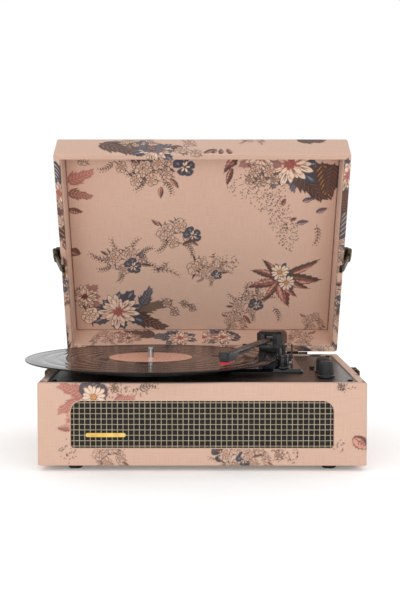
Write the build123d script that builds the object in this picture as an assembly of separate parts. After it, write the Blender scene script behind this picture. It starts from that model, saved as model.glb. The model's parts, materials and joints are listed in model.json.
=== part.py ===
"""Suitcase record player: a wrapped wooden case with a hinged tray lid, a deck with platter,
tonearm and knobs, and two small speakers behind a wire grille. Millimetres, +Z up, front towards -Y.

Everything is laid out in the case frame, whose origin is on the floor under the middle of the case.
The lid is laid out closed and then opened about the hinge line. At the end every part is shifted
in plan, so that the origin lies under the middle of the whole object's box."""
import os
from math import cos, radians, sin, sqrt

from build123d import *

# ---------------------------------------------------------------- driving dimensions
CASE_W = 362.0
CASE_D = 291.0
FOOT_H = 6.0
FOOT_R = 8.0
FOOT_X, FOOT_Y = 141.4, 124.0
RIM_Z = 97.4  # top of the case walls
WALL = 9.0
CORNER_R = 3.0
BOTTOM_T = 5.0
BOTTOM_RISE = 3.0  # how far the bottom board is let into the walls
DECK_Z = 95.6  # top of the deck board
DECK_T = 6.0

LID_H = 44.0
LID_WALL = 7.5
LID_DEPTH = 38.6  # from the rim to the back board
BOARD_COVER_T = 2.0
LINER_T = 1.5
LINER_SETBACK = 4.0
LID_OPEN = 61.5  # degrees from closed, as it stands

GRILLE_W = 288.8
GRILLE_Z0, GRILLE_Z1 = 25.5, 77.6
GRILLE_TOP_R, GRILLE_BOTTOM_R = 12.0, 3.5
WIRE_PITCH = 6.0
WIRE_W = 1.0
WIRE_T = 0.8
WIRE_INSET = 1.2  # wires behind the front face
BADGE_X, BADGE_Z = -106.0, 40.0
BADGE_W, BADGE_H, BADGE_T = 44.0, 4.6, 0.8
CLOTH_T = 0.8

# Heights of what stands on the deck are measured from the deck's top.
SPINDLE_X, SPINDLE_Y = -62.0, -12.5
RECORD_R = 150.8
RECORD_H = 15.4  # playing surface
RECORD_T = 2.0
LABEL_R = 50.0
LABEL_T = 0.15
MAT_T = 1.5
PLATTER_R = 98.0
PLATTER_T = 7.5
PLATTER_GAP = 5.0
DRIVE_R = 58.0
PULLEY_R = 4.0
BELT_T = 0.8
BELT_GAP = 0.3
SPINDLE_TOP_H = 28.8
SPINDLE_R = 3.57
SPINDLE_SEAT_R = 3.5
SPINDLE_FOOT_H = -22.0
RUN = 0.06  # radial running clearance

PIVOT_X, PIVOT_Y = 90.2, 89.5
ARM_LENGTH = 201.7  # pivot to stylus
ARM_HEADING = -108.56  # degrees, direction from pivot to stylus
ARM_H = 28.2  # middle of the arm
LIFT_H = 27.2  # the arm's lift axis
TUBE_W, TUBE_H = 8.0, 5.0
PLATE_H = 5.1  # top of the tonearm plate
PLATE_RIGHT, PLATE_LEFT, PLATE_FRONT, PLATE_BACK = 119.5, 22.0, -48.8, 107.8
YOKE_H, CAP_H, CAP_TOP_H = 8.8, 21.8, 38.2
REST_X, REST_Y = 95.3, -38.6
REST_TOP_H = 21.8
CUE_R = 50.0
CUE_HEADING = -76.0
CUE_LEVER_H = 9.3

KNOB_R = 8.5
KNOB_TOP_H = 19.2
KNOBS = {"volume": (141.9, -87.5), "pitch": (142.4, -50.9)}
SWITCH_X, SWITCH_Y = 133.2, -5.1

HINGE_X = 121.5
HINGE_W = 40.0
HINGE_OFFSET = 3.0  # hinge line behind the back face
BARREL_R = 2.5
PIN_R = 1.2
LEAF_T = 1.2

LATCH_PLATE_W = 20.0
HASP_REACH = 4.0  # hasp axle outside the lid's wall
HASP_RISE = 8.7  # hasp axle above the rim, lid closed
HASP_PIN_R = 1.0
HASP_HANG = 14.17

# ---------------------------------------------------------------- worked out
HALF_W, HALF_D = CASE_W / 2, CASE_D / 2
HINGE_Y, HINGE_Z = HALF_D + HINGE_OFFSET, RIM_Z
LID_TOP_Z = RIM_Z + LID_H
PANEL_T = LID_H - LID_DEPTH - BOARD_COVER_T
DECK_UNDER = DECK_Z - DECK_T
BOTTOM_Z = FOOT_H + BOTTOM_RISE
BOTTOM_TOP = BOTTOM_Z + BOTTOM_T
RECORD_UNDER = RECORD_H - RECORD_T
MAT_UNDER = RECORD_UNDER - MAT_T
PLATTER_UNDER = MAT_UNDER - PLATTER_T
ROOM_W, ROOM_D = CASE_W - 2 * WALL, CASE_D - 2 * WALL
MOTOR_REACH = DRIVE_R + PULLEY_R + 14.0
MOTOR_BEARING = 118.0  # degrees from +X, seen from the spindle
MOTOR_X = SPINDLE_X + MOTOR_REACH * cos(radians(MOTOR_BEARING))
MOTOR_Y = SPINDLE_Y + MOTOR_REACH * sin(radians(MOTOR_BEARING))
CUE_X = PIVOT_X + CUE_R * cos(radians(CUE_HEADING))
CUE_Y = PIVOT_Y + CUE_R * sin(radians(CUE_HEADING))
HASP_X, HASP_Z = HALF_W + HASP_REACH, RIM_Z + HASP_RISE
DECK_SCREW_X = 166.3
DECK_SCREW_Y = (-111.9, 128.1)
PLATE_SCREWS = [(108.0, 20.0), (108.0, 99.0), (36.0, -40.5)]
SPEAKER_X = 93.5
SPEAKER_Z = (GRILLE_Z0 + GRILLE_Z1) / 2
BAFFLE_Y = -HALF_D + WALL
BAFFLE_T = 6.0
JACK_X0, JACK_X1, JACK_Z0, JACK_Z1 = 60.0, 150.0, 32.0, 58.0
JACK_Z = (JACK_Z0 + JACK_Z1) / 2
RCA_X = (74.0, 92.0)
AUX_X, POWER_X = 112.0, 134.0
JACK_PLATE_T = 2.0
RCA_BORE_R, AUX_BORE_R, POWER_BORE_R = 1.65, 1.8, 3.2
BOARD_Z, BOARD_T = 24.0, 1.6
STANDOFFS = [(x, y) for x in (45, 150) for y in (65, 121)]
CATCH_SCREW_Z = RIM_Z - 29.4
CATCH_SCREWS = [(s, y) for s in (-1, 1) for y in (-8.5, 8.5)]
LATCH_SCREWS = [(y, RIM_Z + 17.0) for y in (-5.0, 5.0)]


# ---------------------------------------------------------------- helpers
def block(x0, x1, y0, y1, z0, z1):
    """A box between two corners."""
    return Pos((x0 + x1) / 2, (y0 + y1) / 2, (z0 + z1) / 2) * Box(x1 - x0, y1 - y0, z1 - z0)


def rod(x, y, z0, z1, r):
    """An upright cylinder."""
    return Pos(x, y, (z0 + z1) / 2) * Cylinder(r, z1 - z0)


def rod_x(x0, x1, y, z, r):
    """A cylinder along X."""
    return Pos((x0 + x1) / 2, y, z) * Rot(0, 90, 0) * Cylinder(r, x1 - x0)


def rod_y(x, y0, y1, z, r):
    """A cylinder along Y."""
    return Pos(x, (y0 + y1) / 2, z) * Rot(90, 0, 0) * Cylinder(r, y1 - y0)


def rounded_block(w, d, z0, z1, r, x=0.0, y=0.0):
    """An upright block with rounded vertical edges."""
    return Pos(x, y, z0) * extrude(RectangleRounded(w, d, r), z1 - z0)


def turned(points, x=0.0, y=0.0):
    """A solid of revolution about the upright line through x, y, from (radius, height) points."""
    face = make_face(Polyline(*[(r, 0, z) for r, z in points], close=True))
    return Pos(x, y, 0) * revolve(face, Axis.Z)


def group(solids):
    """Several like pieces as one compound."""
    return Compound(children=list(solids))


def opened(shape):
    """Turns a piece of the closed lid to where the lid stands."""
    return shape.rotate(Axis((0, HINGE_Y, HINGE_Z), (-1, 0, 0)), LID_OPEN)


def screw(at, towards, head_r=3.0, head_t=1.4, shank=9.0):
    """A domed cross-head screw whose head sits on the point at, facing towards."""
    plane = Plane(origin=at, z_dir=towards)
    head = Cylinder(head_r, head_t, align=(Align.CENTER, Align.CENTER, Align.MIN))
    head = chamfer(head.edges().sort_by(Axis.Z)[-1], 0.6)
    for turn in (0, 90):
        head -= Rot(0, 0, turn) * Pos(0, 0, head_t) * Box(head_r * 1.1, 0.7, 1.0)
    body = Cylinder(head_r * 0.45, shank, align=(Align.CENTER, Align.CENTER, Align.MAX))
    return plane * (head + body)


def grille_outline(grow=0.0):
    """The outline of the grille opening, as a face in the X-Z plane at y = 0."""
    x = GRILLE_W / 2 + grow
    z0, z1 = GRILLE_Z0 - grow, GRILLE_Z1 + grow
    top, low = GRILLE_TOP_R + grow, GRILLE_BOTTOM_R + grow
    path = FilletPolyline((-x, z0), (x, z0), (x, z1), (-x, z1), radius=[low, low, top, top], close=True)
    return Plane.XZ * make_face(path)


def arm_frame(shape):
    """Places a shape made with the pivot at the origin and the arm along +X."""
    return Pos(PIVOT_X, PIVOT_Y, 0) * Rot(0, 0, ARM_HEADING) * shape


# ---------------------------------------------------------------- case
def span(s, near, far):
    """The ends of a stretch between two distances from the middle, on side s."""
    return sorted((s * near, s * far))


def wall_screw_holes():
    """Pilot holes in the case walls for the hinge and latch screws."""
    hinge = [rod_y(x, HALF_D - 7.9, HALF_D, z, 1.4) for x, z in hinge_screw_places(-1)]
    catch = [rod_x(*span(s, HALF_W - 7.9, HALF_W), y, CATCH_SCREW_Z, 1.4) for s, y in CATCH_SCREWS]
    return hinge + catch


def base_frame():
    """The four wrapped walls, open above and below, with the grille and jack openings."""
    shell = rounded_block(CASE_W, CASE_D, FOOT_H, RIM_Z, CORNER_R)
    room = block(-ROOM_W / 2, ROOM_W / 2, -ROOM_D / 2, ROOM_D / 2, 0, RIM_Z + 1)
    opening = Pos(0, -HALF_D - 1, 0) * extrude(grille_outline(), WALL + 2, dir=(0, 1, 0))
    bevel = loft([Pos(0, -HALF_D, 0) * grille_outline(1.2), Pos(0, -HALF_D + 1.2, 0) * grille_outline()])
    jack_window = block(JACK_X0, JACK_X1, HALF_D - WALL - 1, HALF_D + 1, JACK_Z0, JACK_Z1)
    return shell - room - opening - bevel - jack_window - wall_screw_holes()


def base_bottom():
    """The bottom board, let into the walls, with ventilation slots."""
    board = block(-ROOM_W / 2, ROOM_W / 2, -ROOM_D / 2, ROOM_D / 2, BOTTOM_Z, BOTTOM_TOP)
    slot = extrude(SlotOverall(40, 4), BOTTOM_T + 2)
    return board - [Pos(0, y, BOTTOM_Z - 1) * slot for y in range(-30, 20, 10)]


def foot_places():
    """The four feet's centres."""
    return [(sx * FOOT_X, sy * FOOT_Y) for sx in (-1, 1) for sy in (-1, 1)]


def feet():
    """Four turned rubber feet with a recessed screw seat, from the floor to the bottom board."""
    profile = [
        (2.2, 2.5),
        (2.2, BOTTOM_Z),
        (FOOT_R, BOTTOM_Z),
        (FOOT_R, 1.2),
        (FOOT_R - 1.2, 0),
        (4.2, 0),
        (4.2, 2.5),
    ]
    return group(turned(profile, x, y) for x, y in foot_places())


def bottom_screws():
    """One screw through each foot, up to the bottom board."""
    return group(screw((x, y, 2.5), (0, 0, -1), 3.4, 1.4, BOTTOM_Z - 2.5) for x, y in foot_places())


def corner_blocks():
    """Glued blocks in the corners that carry the deck board."""
    half_x, half_y = ROOM_W / 2, ROOM_D / 2
    spans = [(-half_y, -half_y + 36), (half_y - 36, half_y)]
    return group(
        block(*span(s, half_x - 16, half_x), y0, y1, BOTTOM_TOP, DECK_UNDER)
        - rod(s * DECK_SCREW_X, y, DECK_UNDER - 12, DECK_UNDER, 1.6)
        for s in (-1, 1)
        for (y0, y1), y in zip(spans, DECK_SCREW_Y, strict=True)
    )


def deck_screws():
    """The four screws that hold the deck."""
    return group(
        screw((s * DECK_SCREW_X, y, DECK_Z), (0, 0, 1), shank=14.0) for s in (-1, 1) for y in DECK_SCREW_Y
    )


def deck_board():
    """The dark deck board with its openings for bearing, motor, arm, knobs and switch."""
    board = block(-ROOM_W / 2, ROOM_W / 2, -ROOM_D / 2, ROOM_D / 2, DECK_UNDER, DECK_Z)
    holes = [(SPINDLE_X, SPINDLE_Y, 9.0), (MOTOR_X, MOTOR_Y, 7.0)]
    holes += [(PIVOT_X, PIVOT_Y, 7.0), (CUE_X, CUE_Y, 4.5)]
    holes += [(x, y, 5.0) for x, y in KNOBS.values()]
    holes += [(s * DECK_SCREW_X, y, 1.6) for s in (-1, 1) for y in DECK_SCREW_Y]
    holes += [(x, y, 1.5) for x, y in PLATE_SCREWS]
    board -= [rod(x, y, DECK_UNDER - 1, DECK_Z + 1, r) for x, y, r in holes]
    slot = block(SWITCH_X - 2, SWITCH_X + 2, SWITCH_Y - 10, SWITCH_Y + 10, DECK_UNDER - 1, DECK_Z + 1)
    return board - slot


# ---------------------------------------------------------------- grille and speakers
def grille_cloth():
    """Acoustic cloth stretched behind the wires."""
    y = -HALF_D + WIRE_INSET + WIRE_T
    return Pos(0, y, 0) * extrude(grille_outline(-0.2), CLOTH_T, dir=(0, 1, 0))


def grille_wires():
    """A flat lattice of wires in both directions, trimmed to the opening."""
    columns = int(GRILLE_W / WIRE_PITCH) + 1
    rows = int((GRILLE_Z1 - GRILLE_Z0) / WIRE_PITCH) + 1
    cell = WIRE_PITCH - WIRE_W
    holes = Sketch() + [
        loc * Rectangle(cell, cell) for loc in GridLocations(WIRE_PITCH, WIRE_PITCH, columns, rows)
    ]
    middle = (GRILLE_Z0 + GRILLE_Z1) / 2
    sheet = grille_outline(-0.3) - Plane.XZ * Pos(0, middle) * holes
    return Pos(0, -HALF_D + WIRE_INSET, 0) * extrude(sheet, WIRE_T, dir=(0, 1, 0))


def grille_badge():
    """A plain metal strip with round ends, pinned to the lower left of the grille."""
    strip = Plane.XZ * Pos(BADGE_X, BADGE_Z) * SlotOverall(BADGE_W, BADGE_H)
    return Pos(0, -HALF_D + WIRE_INSET - BADGE_T, 0) * extrude(strip, BADGE_T, dir=(0, 1, 0))


def speaker_baffle():
    """The board behind the front wall that carries both speakers."""
    board = block(-ROOM_W / 2 + 17, ROOM_W / 2 - 17, BAFFLE_Y, BAFFLE_Y + BAFFLE_T, BOTTOM_TOP, DECK_UNDER)
    return board - [rod_y(s * SPEAKER_X, BAFFLE_Y - 1, BAFFLE_Y + 7, SPEAKER_Z, 29.0) for s in (-1, 1)]


def speaker(profile):
    """Two like turned pieces of the speakers, from (radius, distance behind the baffle) points."""
    face = make_face(Polyline(*[(r, 0, d) for r, d in profile], close=True))
    body = revolve(face, Axis.Z)
    back = BAFFLE_Y + BAFFLE_T
    return group(Pos(s * SPEAKER_X, back, SPEAKER_Z) * Rot(-90, 0, 0) * body for s in (-1, 1))


def speaker_baskets():
    """Pressed baskets with their magnets."""
    profile = [(33, 0), (33, 2), (28, 2), (18, 16), (22, 16), (22, 27), (0, 27), (0, 14), (16, 14), (25.5, 0)]
    return speaker(profile)


def speaker_cones():
    """Paper cones with dust caps."""
    outside = [(25.3, -0.5), (25.3, -0.05), (23.8, 0.6), (9, 12.8), (0, 12.8)]
    inside = [(0, 11.6), (8.6, 11.6), (23.2, -0.5)]
    profile = outside + inside
    return speaker(profile)


# ---------------------------------------------------------------- jacks at the back
def jack_plate():
    """A plastic plate over the window in the back wall."""
    plate = block(JACK_X0 - 5, JACK_X1 + 5, HALF_D, HALF_D + JACK_PLATE_T, JACK_Z0 - 5, JACK_Z1 + 5)
    plate = fillet(plate.edges().filter_by(Axis.Y), 3.0)
    for x in (*RCA_X, AUX_X, POWER_X):
        plate -= rod_y(x, HALF_D - 1, HALF_D + 4, JACK_Z, 4.2)
    return plate


def jack(x, bore, stand_out):
    """A round jack on axis Y with a blind bore that opens backwards."""
    body = block(x - 6, x + 6, HALF_D - 14, HALF_D, JACK_Z - 6, JACK_Z + 6)
    collar = rod_y(x, HALF_D, HALF_D + JACK_PLATE_T + stand_out, JACK_Z, 4.1)
    return body + collar - rod_y(x, HALF_D - 10, HALF_D + 20, JACK_Z, bore)


def rca_jacks():
    """Left and right line outputs."""
    return group(jack(x, RCA_BORE_R, 6.0) for x in RCA_X)


def aux_jack():
    """A 3.5 mm socket."""
    return jack(AUX_X, AUX_BORE_R, 0.6)


def power_jack():
    """The inlet for the power supply's plug, with its centre contact."""
    return jack(POWER_X, POWER_BORE_R, 0.6) + rod_y(POWER_X, HALF_D - 10, HALF_D - 1, JACK_Z, 1.0)


def circuit_board():
    """The amplifier board with two capacitors, a chip and a heat sink."""
    top = BOARD_Z + BOARD_T
    board = block(40, 156, 60, 128, BOARD_Z, top)
    board += [rod(x, 80, top, top + 13, 6) for x in (60, 76)]
    board += block(92, 118, 74, 92, top, top + 5)
    board += block(128, 146, 70, 78, top, top + 14)
    return board - [rod(x, y, BOARD_Z - 1, top + 1, 1.7) for x, y in STANDOFFS]


def board_standoffs():
    """Four posts between the bottom board and the circuit board."""
    return group(
        rod(x, y, BOTTOM_TOP, BOARD_Z, 3.5) + rod(x, y, BOARD_Z, BOARD_Z + 3.5, 1.5) for x, y in STANDOFFS
    )


# ---------------------------------------------------------------- platter and drive
def spindle():
    """The centre pin: a plain seat for hub and record and a slightly thicker free end with a dome."""
    top, step = SPINDLE_TOP_H, RECORD_H + 0.6
    profile = [
        (0, SPINDLE_FOOT_H),
        (SPINDLE_SEAT_R, SPINDLE_FOOT_H),
        (SPINDLE_SEAT_R, step),
        (SPINDLE_R, step),
        (SPINDLE_R, top - 2.6),
        (2.9, top - 1.0),
        (1.6, top),
        (0, top),
    ]
    return turned(profile, SPINDLE_X, SPINDLE_Y)


def spindle_bearing():
    """The flanged housing that holds the spindle in the deck."""
    profile = [
        (SPINDLE_SEAT_R, SPINDLE_FOOT_H),
        (8.5, SPINDLE_FOOT_H),
        (8.5, 0),
        (14, 0),
        (14, 1),
        (8, 1),
        (8, PLATTER_UNDER - 0.4),
        (SPINDLE_SEAT_R, PLATTER_UNDER - 0.4),
    ]
    return turned(profile, SPINDLE_X, SPINDLE_Y)


def platter():
    """A pressed platter with a rim, a hub and a drive ring underneath."""
    bore = SPINDLE_SEAT_R + RUN
    web = MAT_UNDER - 3.0
    profile = [
        (bore, PLATTER_UNDER),
        (9, PLATTER_UNDER),
        (9, web),
        (DRIVE_R - 3, web),
        (DRIVE_R - 3, PLATTER_UNDER),
        (DRIVE_R, PLATTER_UNDER),
        (DRIVE_R, web),
        (PLATTER_R - 2.5, web),
        (PLATTER_R - 2.5, PLATTER_UNDER),
        (PLATTER_R, PLATTER_UNDER),
        (PLATTER_R, MAT_UNDER - 0.8),
        (PLATTER_R - 0.8, MAT_UNDER),
        (bore, MAT_UNDER),
    ]
    return turned(profile, SPINDLE_X, SPINDLE_Y)


def ring(inner, outer, z0, z1):
    """A flat ring about the spindle."""
    return turned([(inner, z0), (outer, z0), (outer, z1), (inner, z1)], SPINDLE_X, SPINDLE_Y)


def slip_mat():
    """A thin mat under the record."""
    return ring(SPINDLE_SEAT_R + 0.4, PLATTER_R - 1, MAT_UNDER, RECORD_UNDER)


def record():
    """A 12 inch record: thick at the label and at the rim bead, thinner over the grooves."""
    hole = SPINDLE_SEAT_R + RUN
    profile = [
        (hole, RECORD_UNDER),
        (RECORD_R - 1.0, RECORD_UNDER),
        (RECORD_R, RECORD_UNDER + 0.7),
        (RECORD_R, RECORD_H - 0.7),
        (RECORD_R - 1.0, RECORD_H),
        (RECORD_R - 3.5, RECORD_H - 0.2),
        (LABEL_R + 6, RECORD_H - 0.2),
        (LABEL_R + 2, RECORD_H),
        (hole, RECORD_H),
    ]
    return turned(profile, SPINDLE_X, SPINDLE_Y)


def record_label():
    """The paper label."""
    return ring(SPINDLE_SEAT_R + 0.15, LABEL_R, RECORD_H, RECORD_H + LABEL_T)


def motor():
    """The motor can, hung under the deck on its flange, with a bearing nose for the shaft."""
    flange_z = -DECK_T - 3.0
    can = rod(MOTOR_X, MOTOR_Y, flange_z - 22, flange_z, 16)
    flange = Pos(MOTOR_X, MOTOR_Y, flange_z) * extrude(SlotOverall(52, 24), 3.0)
    nose = rod(MOTOR_X, MOTOR_Y, -DECK_T, -1, 5)
    return can + flange + nose - rod(MOTOR_X, MOTOR_Y, flange_z - 18, 0, 1.0 + RUN)


def motor_pulley():
    """A flanged pulley, pressed on the motor shaft."""
    low, high = PLATTER_UNDER - 1.2, PLATTER_UNDER + 4.2
    profile = [
        (0, -26),
        (1, -26),
        (1, low),
        (PULLEY_R + 1, low),
        (PULLEY_R + 1, low + 0.8),
        (PULLEY_R, low + 1.0),
        (PULLEY_R, high - 1.0),
        (PULLEY_R + 1, high - 0.8),
        (PULLEY_R + 1, high),
        (0, high),
    ]
    return turned(profile, MOTOR_X, MOTOR_Y)


def belt_band(z0, z1, gap):
    """The solid inside a belt that runs round drive ring and pulley with the given gap."""
    big, small = DRIVE_R + gap, PULLEY_R + gap
    lean = (big - small) / MOTOR_REACH
    side = sqrt(1 - lean * lean)
    corners = [(big * lean, s * big * side) for s in (1, -1)]
    corners += [(MOTOR_REACH + small * lean, s * small * side) for s in (-1, 1)]
    outline = make_face(Polyline(*corners, close=True)) + Circle(big) + Pos(MOTOR_REACH, 0) * Circle(small)
    return Pos(SPINDLE_X, SPINDLE_Y, z0) * Rot(0, 0, MOTOR_BEARING) * extrude(outline, z1 - z0)


def drive_belt():
    """A flat belt round the platter's drive ring and the motor pulley."""
    low, high = PLATTER_UNDER + 0.4, PLATTER_UNDER + 2.8
    return belt_band(low, high, BELT_GAP + BELT_T) - belt_band(low - 1, high + 1, BELT_GAP)


# ---------------------------------------------------------------- tonearm
def tonearm_plate():
    """The glossy plate under the tonearm, cut away round the platter and bevelled at the right."""
    plate = block(PLATE_LEFT, PLATE_RIGHT, PLATE_FRONT, PLATE_BACK, 0, PLATE_H)
    corners = plate.edges().filter_by(Axis.Z).sort_by(Axis.X)[-2:]
    plate = fillet(corners, 5.0)
    right = plate.edges().group_by(Axis.Z)[-1].sort_by(Axis.X)[-1]
    plate = chamfer(right, 3.0)
    holes = [(SPINDLE_X, SPINDLE_Y, PLATTER_R + PLATTER_GAP), (PIVOT_X, PIVOT_Y, 6.0), (CUE_X, CUE_Y, 3.5)]
    holes += [(x, y, 1.5) for x, y in PLATE_SCREWS]
    return plate - [rod(x, y, -1, PLATE_H + 1, r) for x, y, r in holes]


def plate_screws():
    """The screws that hold the tonearm plate to the deck."""
    return group(screw((x, y, PLATE_H), (0, 0, 1)) for x, y in PLATE_SCREWS)


def arm_rest():
    """A post with a collar at its foot and a shallow saddle on top for the arm."""
    top = REST_TOP_H
    profile = [
        (0, PLATE_H),
        (9, PLATE_H),
        (9, PLATE_H + 1.5),
        (8.2, PLATE_H + 2.5),
        (6.8, PLATE_H + 3.0),
        (6.8, top - 5.0),
        (6.4, top - 4.5),
        (6.4, top - 3.7),
        (6.8, top - 3.2),
        (6.8, top - 0.6),
        (6.2, top),
        (0, top),
    ]
    post = turned(profile, REST_X, REST_Y)
    return post - Pos(REST_X, REST_Y, top + 3.4) * Rot(90, 0, 0) * Cylinder(4.6, 20)


def pivot_post():
    """The fixed post on which the arm turns."""
    profile = [
        (0, -10),
        (5.8, -10),
        (5.8, PLATE_H),
        (10, PLATE_H),
        (10, YOKE_H - 0.4),
        (4, YOKE_H - 0.4),
        (4, YOKE_H + 7.5),
        (0, YOKE_H + 7.5),
    ]
    return turned(profile, PIVOT_X, PIVOT_Y)


def cheek(s, near, far):
    """A lug beside the arm's bearing block, from near to far out on side s."""
    return block(-5, 5, *span(s, near, far), CAP_H, LIFT_H + 5.5)


def arm_yoke():
    """The turning block, with two cheeks that hold the lift axle inside the cap."""
    body = Pos(0, 0, YOKE_H) * extrude(RectangleRounded(28, 29, 4), CAP_H - YOKE_H)
    body = body - rod(0, 0, YOKE_H - 1, YOKE_H + 8, 4 + RUN) + [cheek(s, 10, 13) for s in (-1, 1)]
    body -= block(-20, 20, -10, 10, CAP_H - 1.9, CAP_H + 20)
    return arm_frame(body - rod_y(0, -14, 14, LIFT_H, 1.5 + RUN))


def cap_outline(grow):
    """The eight-sided plan of the pivot cap."""
    half, cut = 17.0 + grow, 6.0
    right = [(half - cut, -half), (half, -half + cut), (half, half - cut), (half - cut, half)]
    return make_face(Polyline(*right, *[(-x, y) for x, y in reversed(right)], close=True))


def pivot_cap():
    """The hollow eight-sided cap over the cheeks, open below and slotted for the arm."""
    outer = Pos(0, 0, CAP_H) * extrude(cap_outline(0), CAP_TOP_H - CAP_H)
    outer = chamfer(outer.edges().group_by(Axis.Z)[-1], 3.0)
    inner = Pos(0, 0, CAP_H - 1) * extrude(cap_outline(-1.6), CAP_TOP_H - CAP_H - 1.6)
    slot = block(8, 20, -TUBE_W / 2 - 1.2, TUBE_W / 2 + 1.2, CAP_H - 2, ARM_H + 6.5)
    return arm_frame(outer - inner - slot + [cheek(s, 13, 15.6) for s in (-1, 1)])


SHELL_START, SHELL_END = ARM_LENGTH - 36.0, ARM_LENGTH + 8.0
TAIL_START = 108.0
ARM_UNDER = ARM_H - TUBE_H / 2
ARM_TOP = ARM_H + TUBE_H / 2
CARTRIDGE_TOP = ARM_UNDER - 1.6
CARTRIDGE_T = 3.6
STYLUS_TOP = CARTRIDGE_TOP - CARTRIDGE_T


def arm_tube():
    """The flat arm with its bearing block and axle at the back."""
    section = Pos(10, 0, ARM_H) * Rot(0, 90, 0) * RectangleRounded(TUBE_H, TUBE_W, 1.8)
    tube = extrude(section, SHELL_START - 10, dir=(1, 0, 0))
    back = block(-13, 11, -8.5, 8.5, LIFT_H - 4.6, LIFT_H + 5.2)
    back = fillet(back.edges().filter_by(Axis.Z), 2.0)
    return arm_frame(tube + back + rod_y(0, -12.8, 12.8, LIFT_H, 1.5))


def headshell():
    """The black shell at the end of the arm, with a tail under the arm and a finger lift."""
    a, b = SHELL_START, SHELL_END
    plan = make_face(Polyline((a, -4.6), (a + 6, -6.4), (b - 4, -6.4), (b, -3.4), (b, 3.4), (b - 4, 6.4),
                              (a + 6, 6.4), (a, 4.6), close=True))
    shell = Pos(0, 0, CARTRIDGE_TOP) * extrude(plan, ARM_TOP + 0.8 - CARTRIDGE_TOP)
    shell = chamfer(shell.edges().group_by(Axis.Z)[-1], 0.8)
    tail = block(TAIL_START, a + 2, -3.2, 3.2, ARM_UNDER - 2.6, ARM_UNDER)
    tail = chamfer(tail.edges().filter_by(Axis.Y).sort_by(Axis.X)[0], 1.2)
    finger = block(b - 8, b - 5, -15, -6, ARM_UNDER + 0.4, ARM_UNDER + 1.6)
    return arm_frame(shell + tail + finger)


def cartridge():
    """The cartridge body under the headshell."""
    body = block(SHELL_START + 8, SHELL_END - 4, -5.6, 5.6, STYLUS_TOP, CARTRIDGE_TOP)
    return arm_frame(chamfer(body.edges().filter_by(Axis.Y), 0.6))


def stylus():
    """The coloured stylus block with its cantilever and tip."""
    low = RECORD_H + 2.2
    profile = Plane.XZ * make_face(Polyline(
        (SHELL_START + 12, STYLUS_TOP), (SHELL_END - 3, STYLUS_TOP), (SHELL_END - 1.5, low),
        (SHELL_START + 16, low), close=True))
    body = extrude(profile, 5.0, both=True)
    cone_h = low - RECORD_H - 0.2
    tip = Pos(ARM_LENGTH, 0, low - cone_h / 2) * Rot(180, 0, 0) * Cone(0.7, 0.15, cone_h)
    return arm_frame(body + tip)


def cue_platform():
    """The curved rail under the arm, on a stem that slides in the cue housing."""
    band = Circle(CUE_R + 2) - Circle(CUE_R - 2)
    reach = [(80 * cos(radians(a)), 80 * sin(radians(a))) for a in (-139, -105, CUE_HEADING + 4)]
    wedge = make_face(Polyline((0, 0), *reach, close=True))
    rail = Pos(PIVOT_X, PIVOT_Y, ARM_UNDER - 4.1) * extrude(band & wedge, 3.0)
    return rail + rod(CUE_X, CUE_Y, -2.0, ARM_UNDER - 3.0, 2.5)


def cue_housing():
    """The guide tube for the cue stem, with an ear for the lever."""
    bore = 2.5 + RUN
    profile = [(bore, -6), (3.4, -6), (3.4, PLATE_H), (5.2, PLATE_H), (5.2, PLATE_H + 8), (bore, PLATE_H + 8)]
    ear = block(CUE_X + 4.6, CUE_X + 8.6, CUE_Y - 4, CUE_Y + 4, PLATE_H, PLATE_H + 7.5)
    housing = turned(profile, CUE_X, CUE_Y) + ear
    return housing - rod_x(CUE_X + 5.6, CUE_X + 10, CUE_Y, CUE_LEVER_H, 1.3 + RUN)


def cue_lever():
    """The thin upright lever, tapered, on its short axle."""
    inner = CUE_X + 9.0
    outline = Polyline((-3, -1.8), (3, -1.8), (1.9, 14.6), (0, 16.0), (-1.9, 14.6), close=True)
    blade = extrude(Plane.YZ * make_face(outline), 2.0, dir=(1, 0, 0))
    axle = rod_x(CUE_X + 5.8, inner + 0.5, CUE_Y, CUE_LEVER_H, 1.3)
    return Pos(inner, CUE_Y, CUE_LEVER_H) * blade + axle


# ---------------------------------------------------------------- knobs and switch
def knob(x, y):
    """A ribbed knob with a skirt and a pointer groove, on its own shaft."""
    profile = [
        (0, 1.2),
        (KNOB_R + 1.6, 1.2),
        (KNOB_R + 1.6, 3.0),
        (KNOB_R + 0.2, 4.2),
        (KNOB_R, KNOB_TOP_H - 2.5),
        (KNOB_R - 1.2, KNOB_TOP_H),
        (0, KNOB_TOP_H),
    ]
    groove = Cylinder(0.55, 14, align=(Align.CENTER, Align.CENTER, Align.MIN))
    ribs = [Pos(x, y, 4.6) * Rot(0, 0, 15 * i) * Pos(KNOB_R + 0.15, 0, 0) * groove for i in range(24)]
    pointer = Pos(x, y - KNOB_R / 2, KNOB_TOP_H) * Box(0.9, KNOB_R - 1, 1.0)
    return turned(profile, x, y) - ribs - pointer + rod(x, y, -16, 1.4, 3.0)


def potentiometers():
    """The controls under the deck that the knobs' shafts turn in."""
    low, high = -20.0, -8.0
    return group(
        block(x - 9, x + 9, y - 9, y + 9, low, high)
        + rod(x, y, high, 0, 4.6)
        - rod(x, y, low + 3, 1, 3.0 + RUN)
        for x, y in KNOBS.values()
    )


def speed_switch():
    """The switch body under the deck, open above for its lever."""
    body = block(SWITCH_X - 5, SWITCH_X + 5, SWITCH_Y - 13, SWITCH_Y + 13, -15, -DECK_T)
    return body - block(SWITCH_X - 2, SWITCH_X + 2, SWITCH_Y - 10, SWITCH_Y + 10, -12, -DECK_T + 1)


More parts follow.
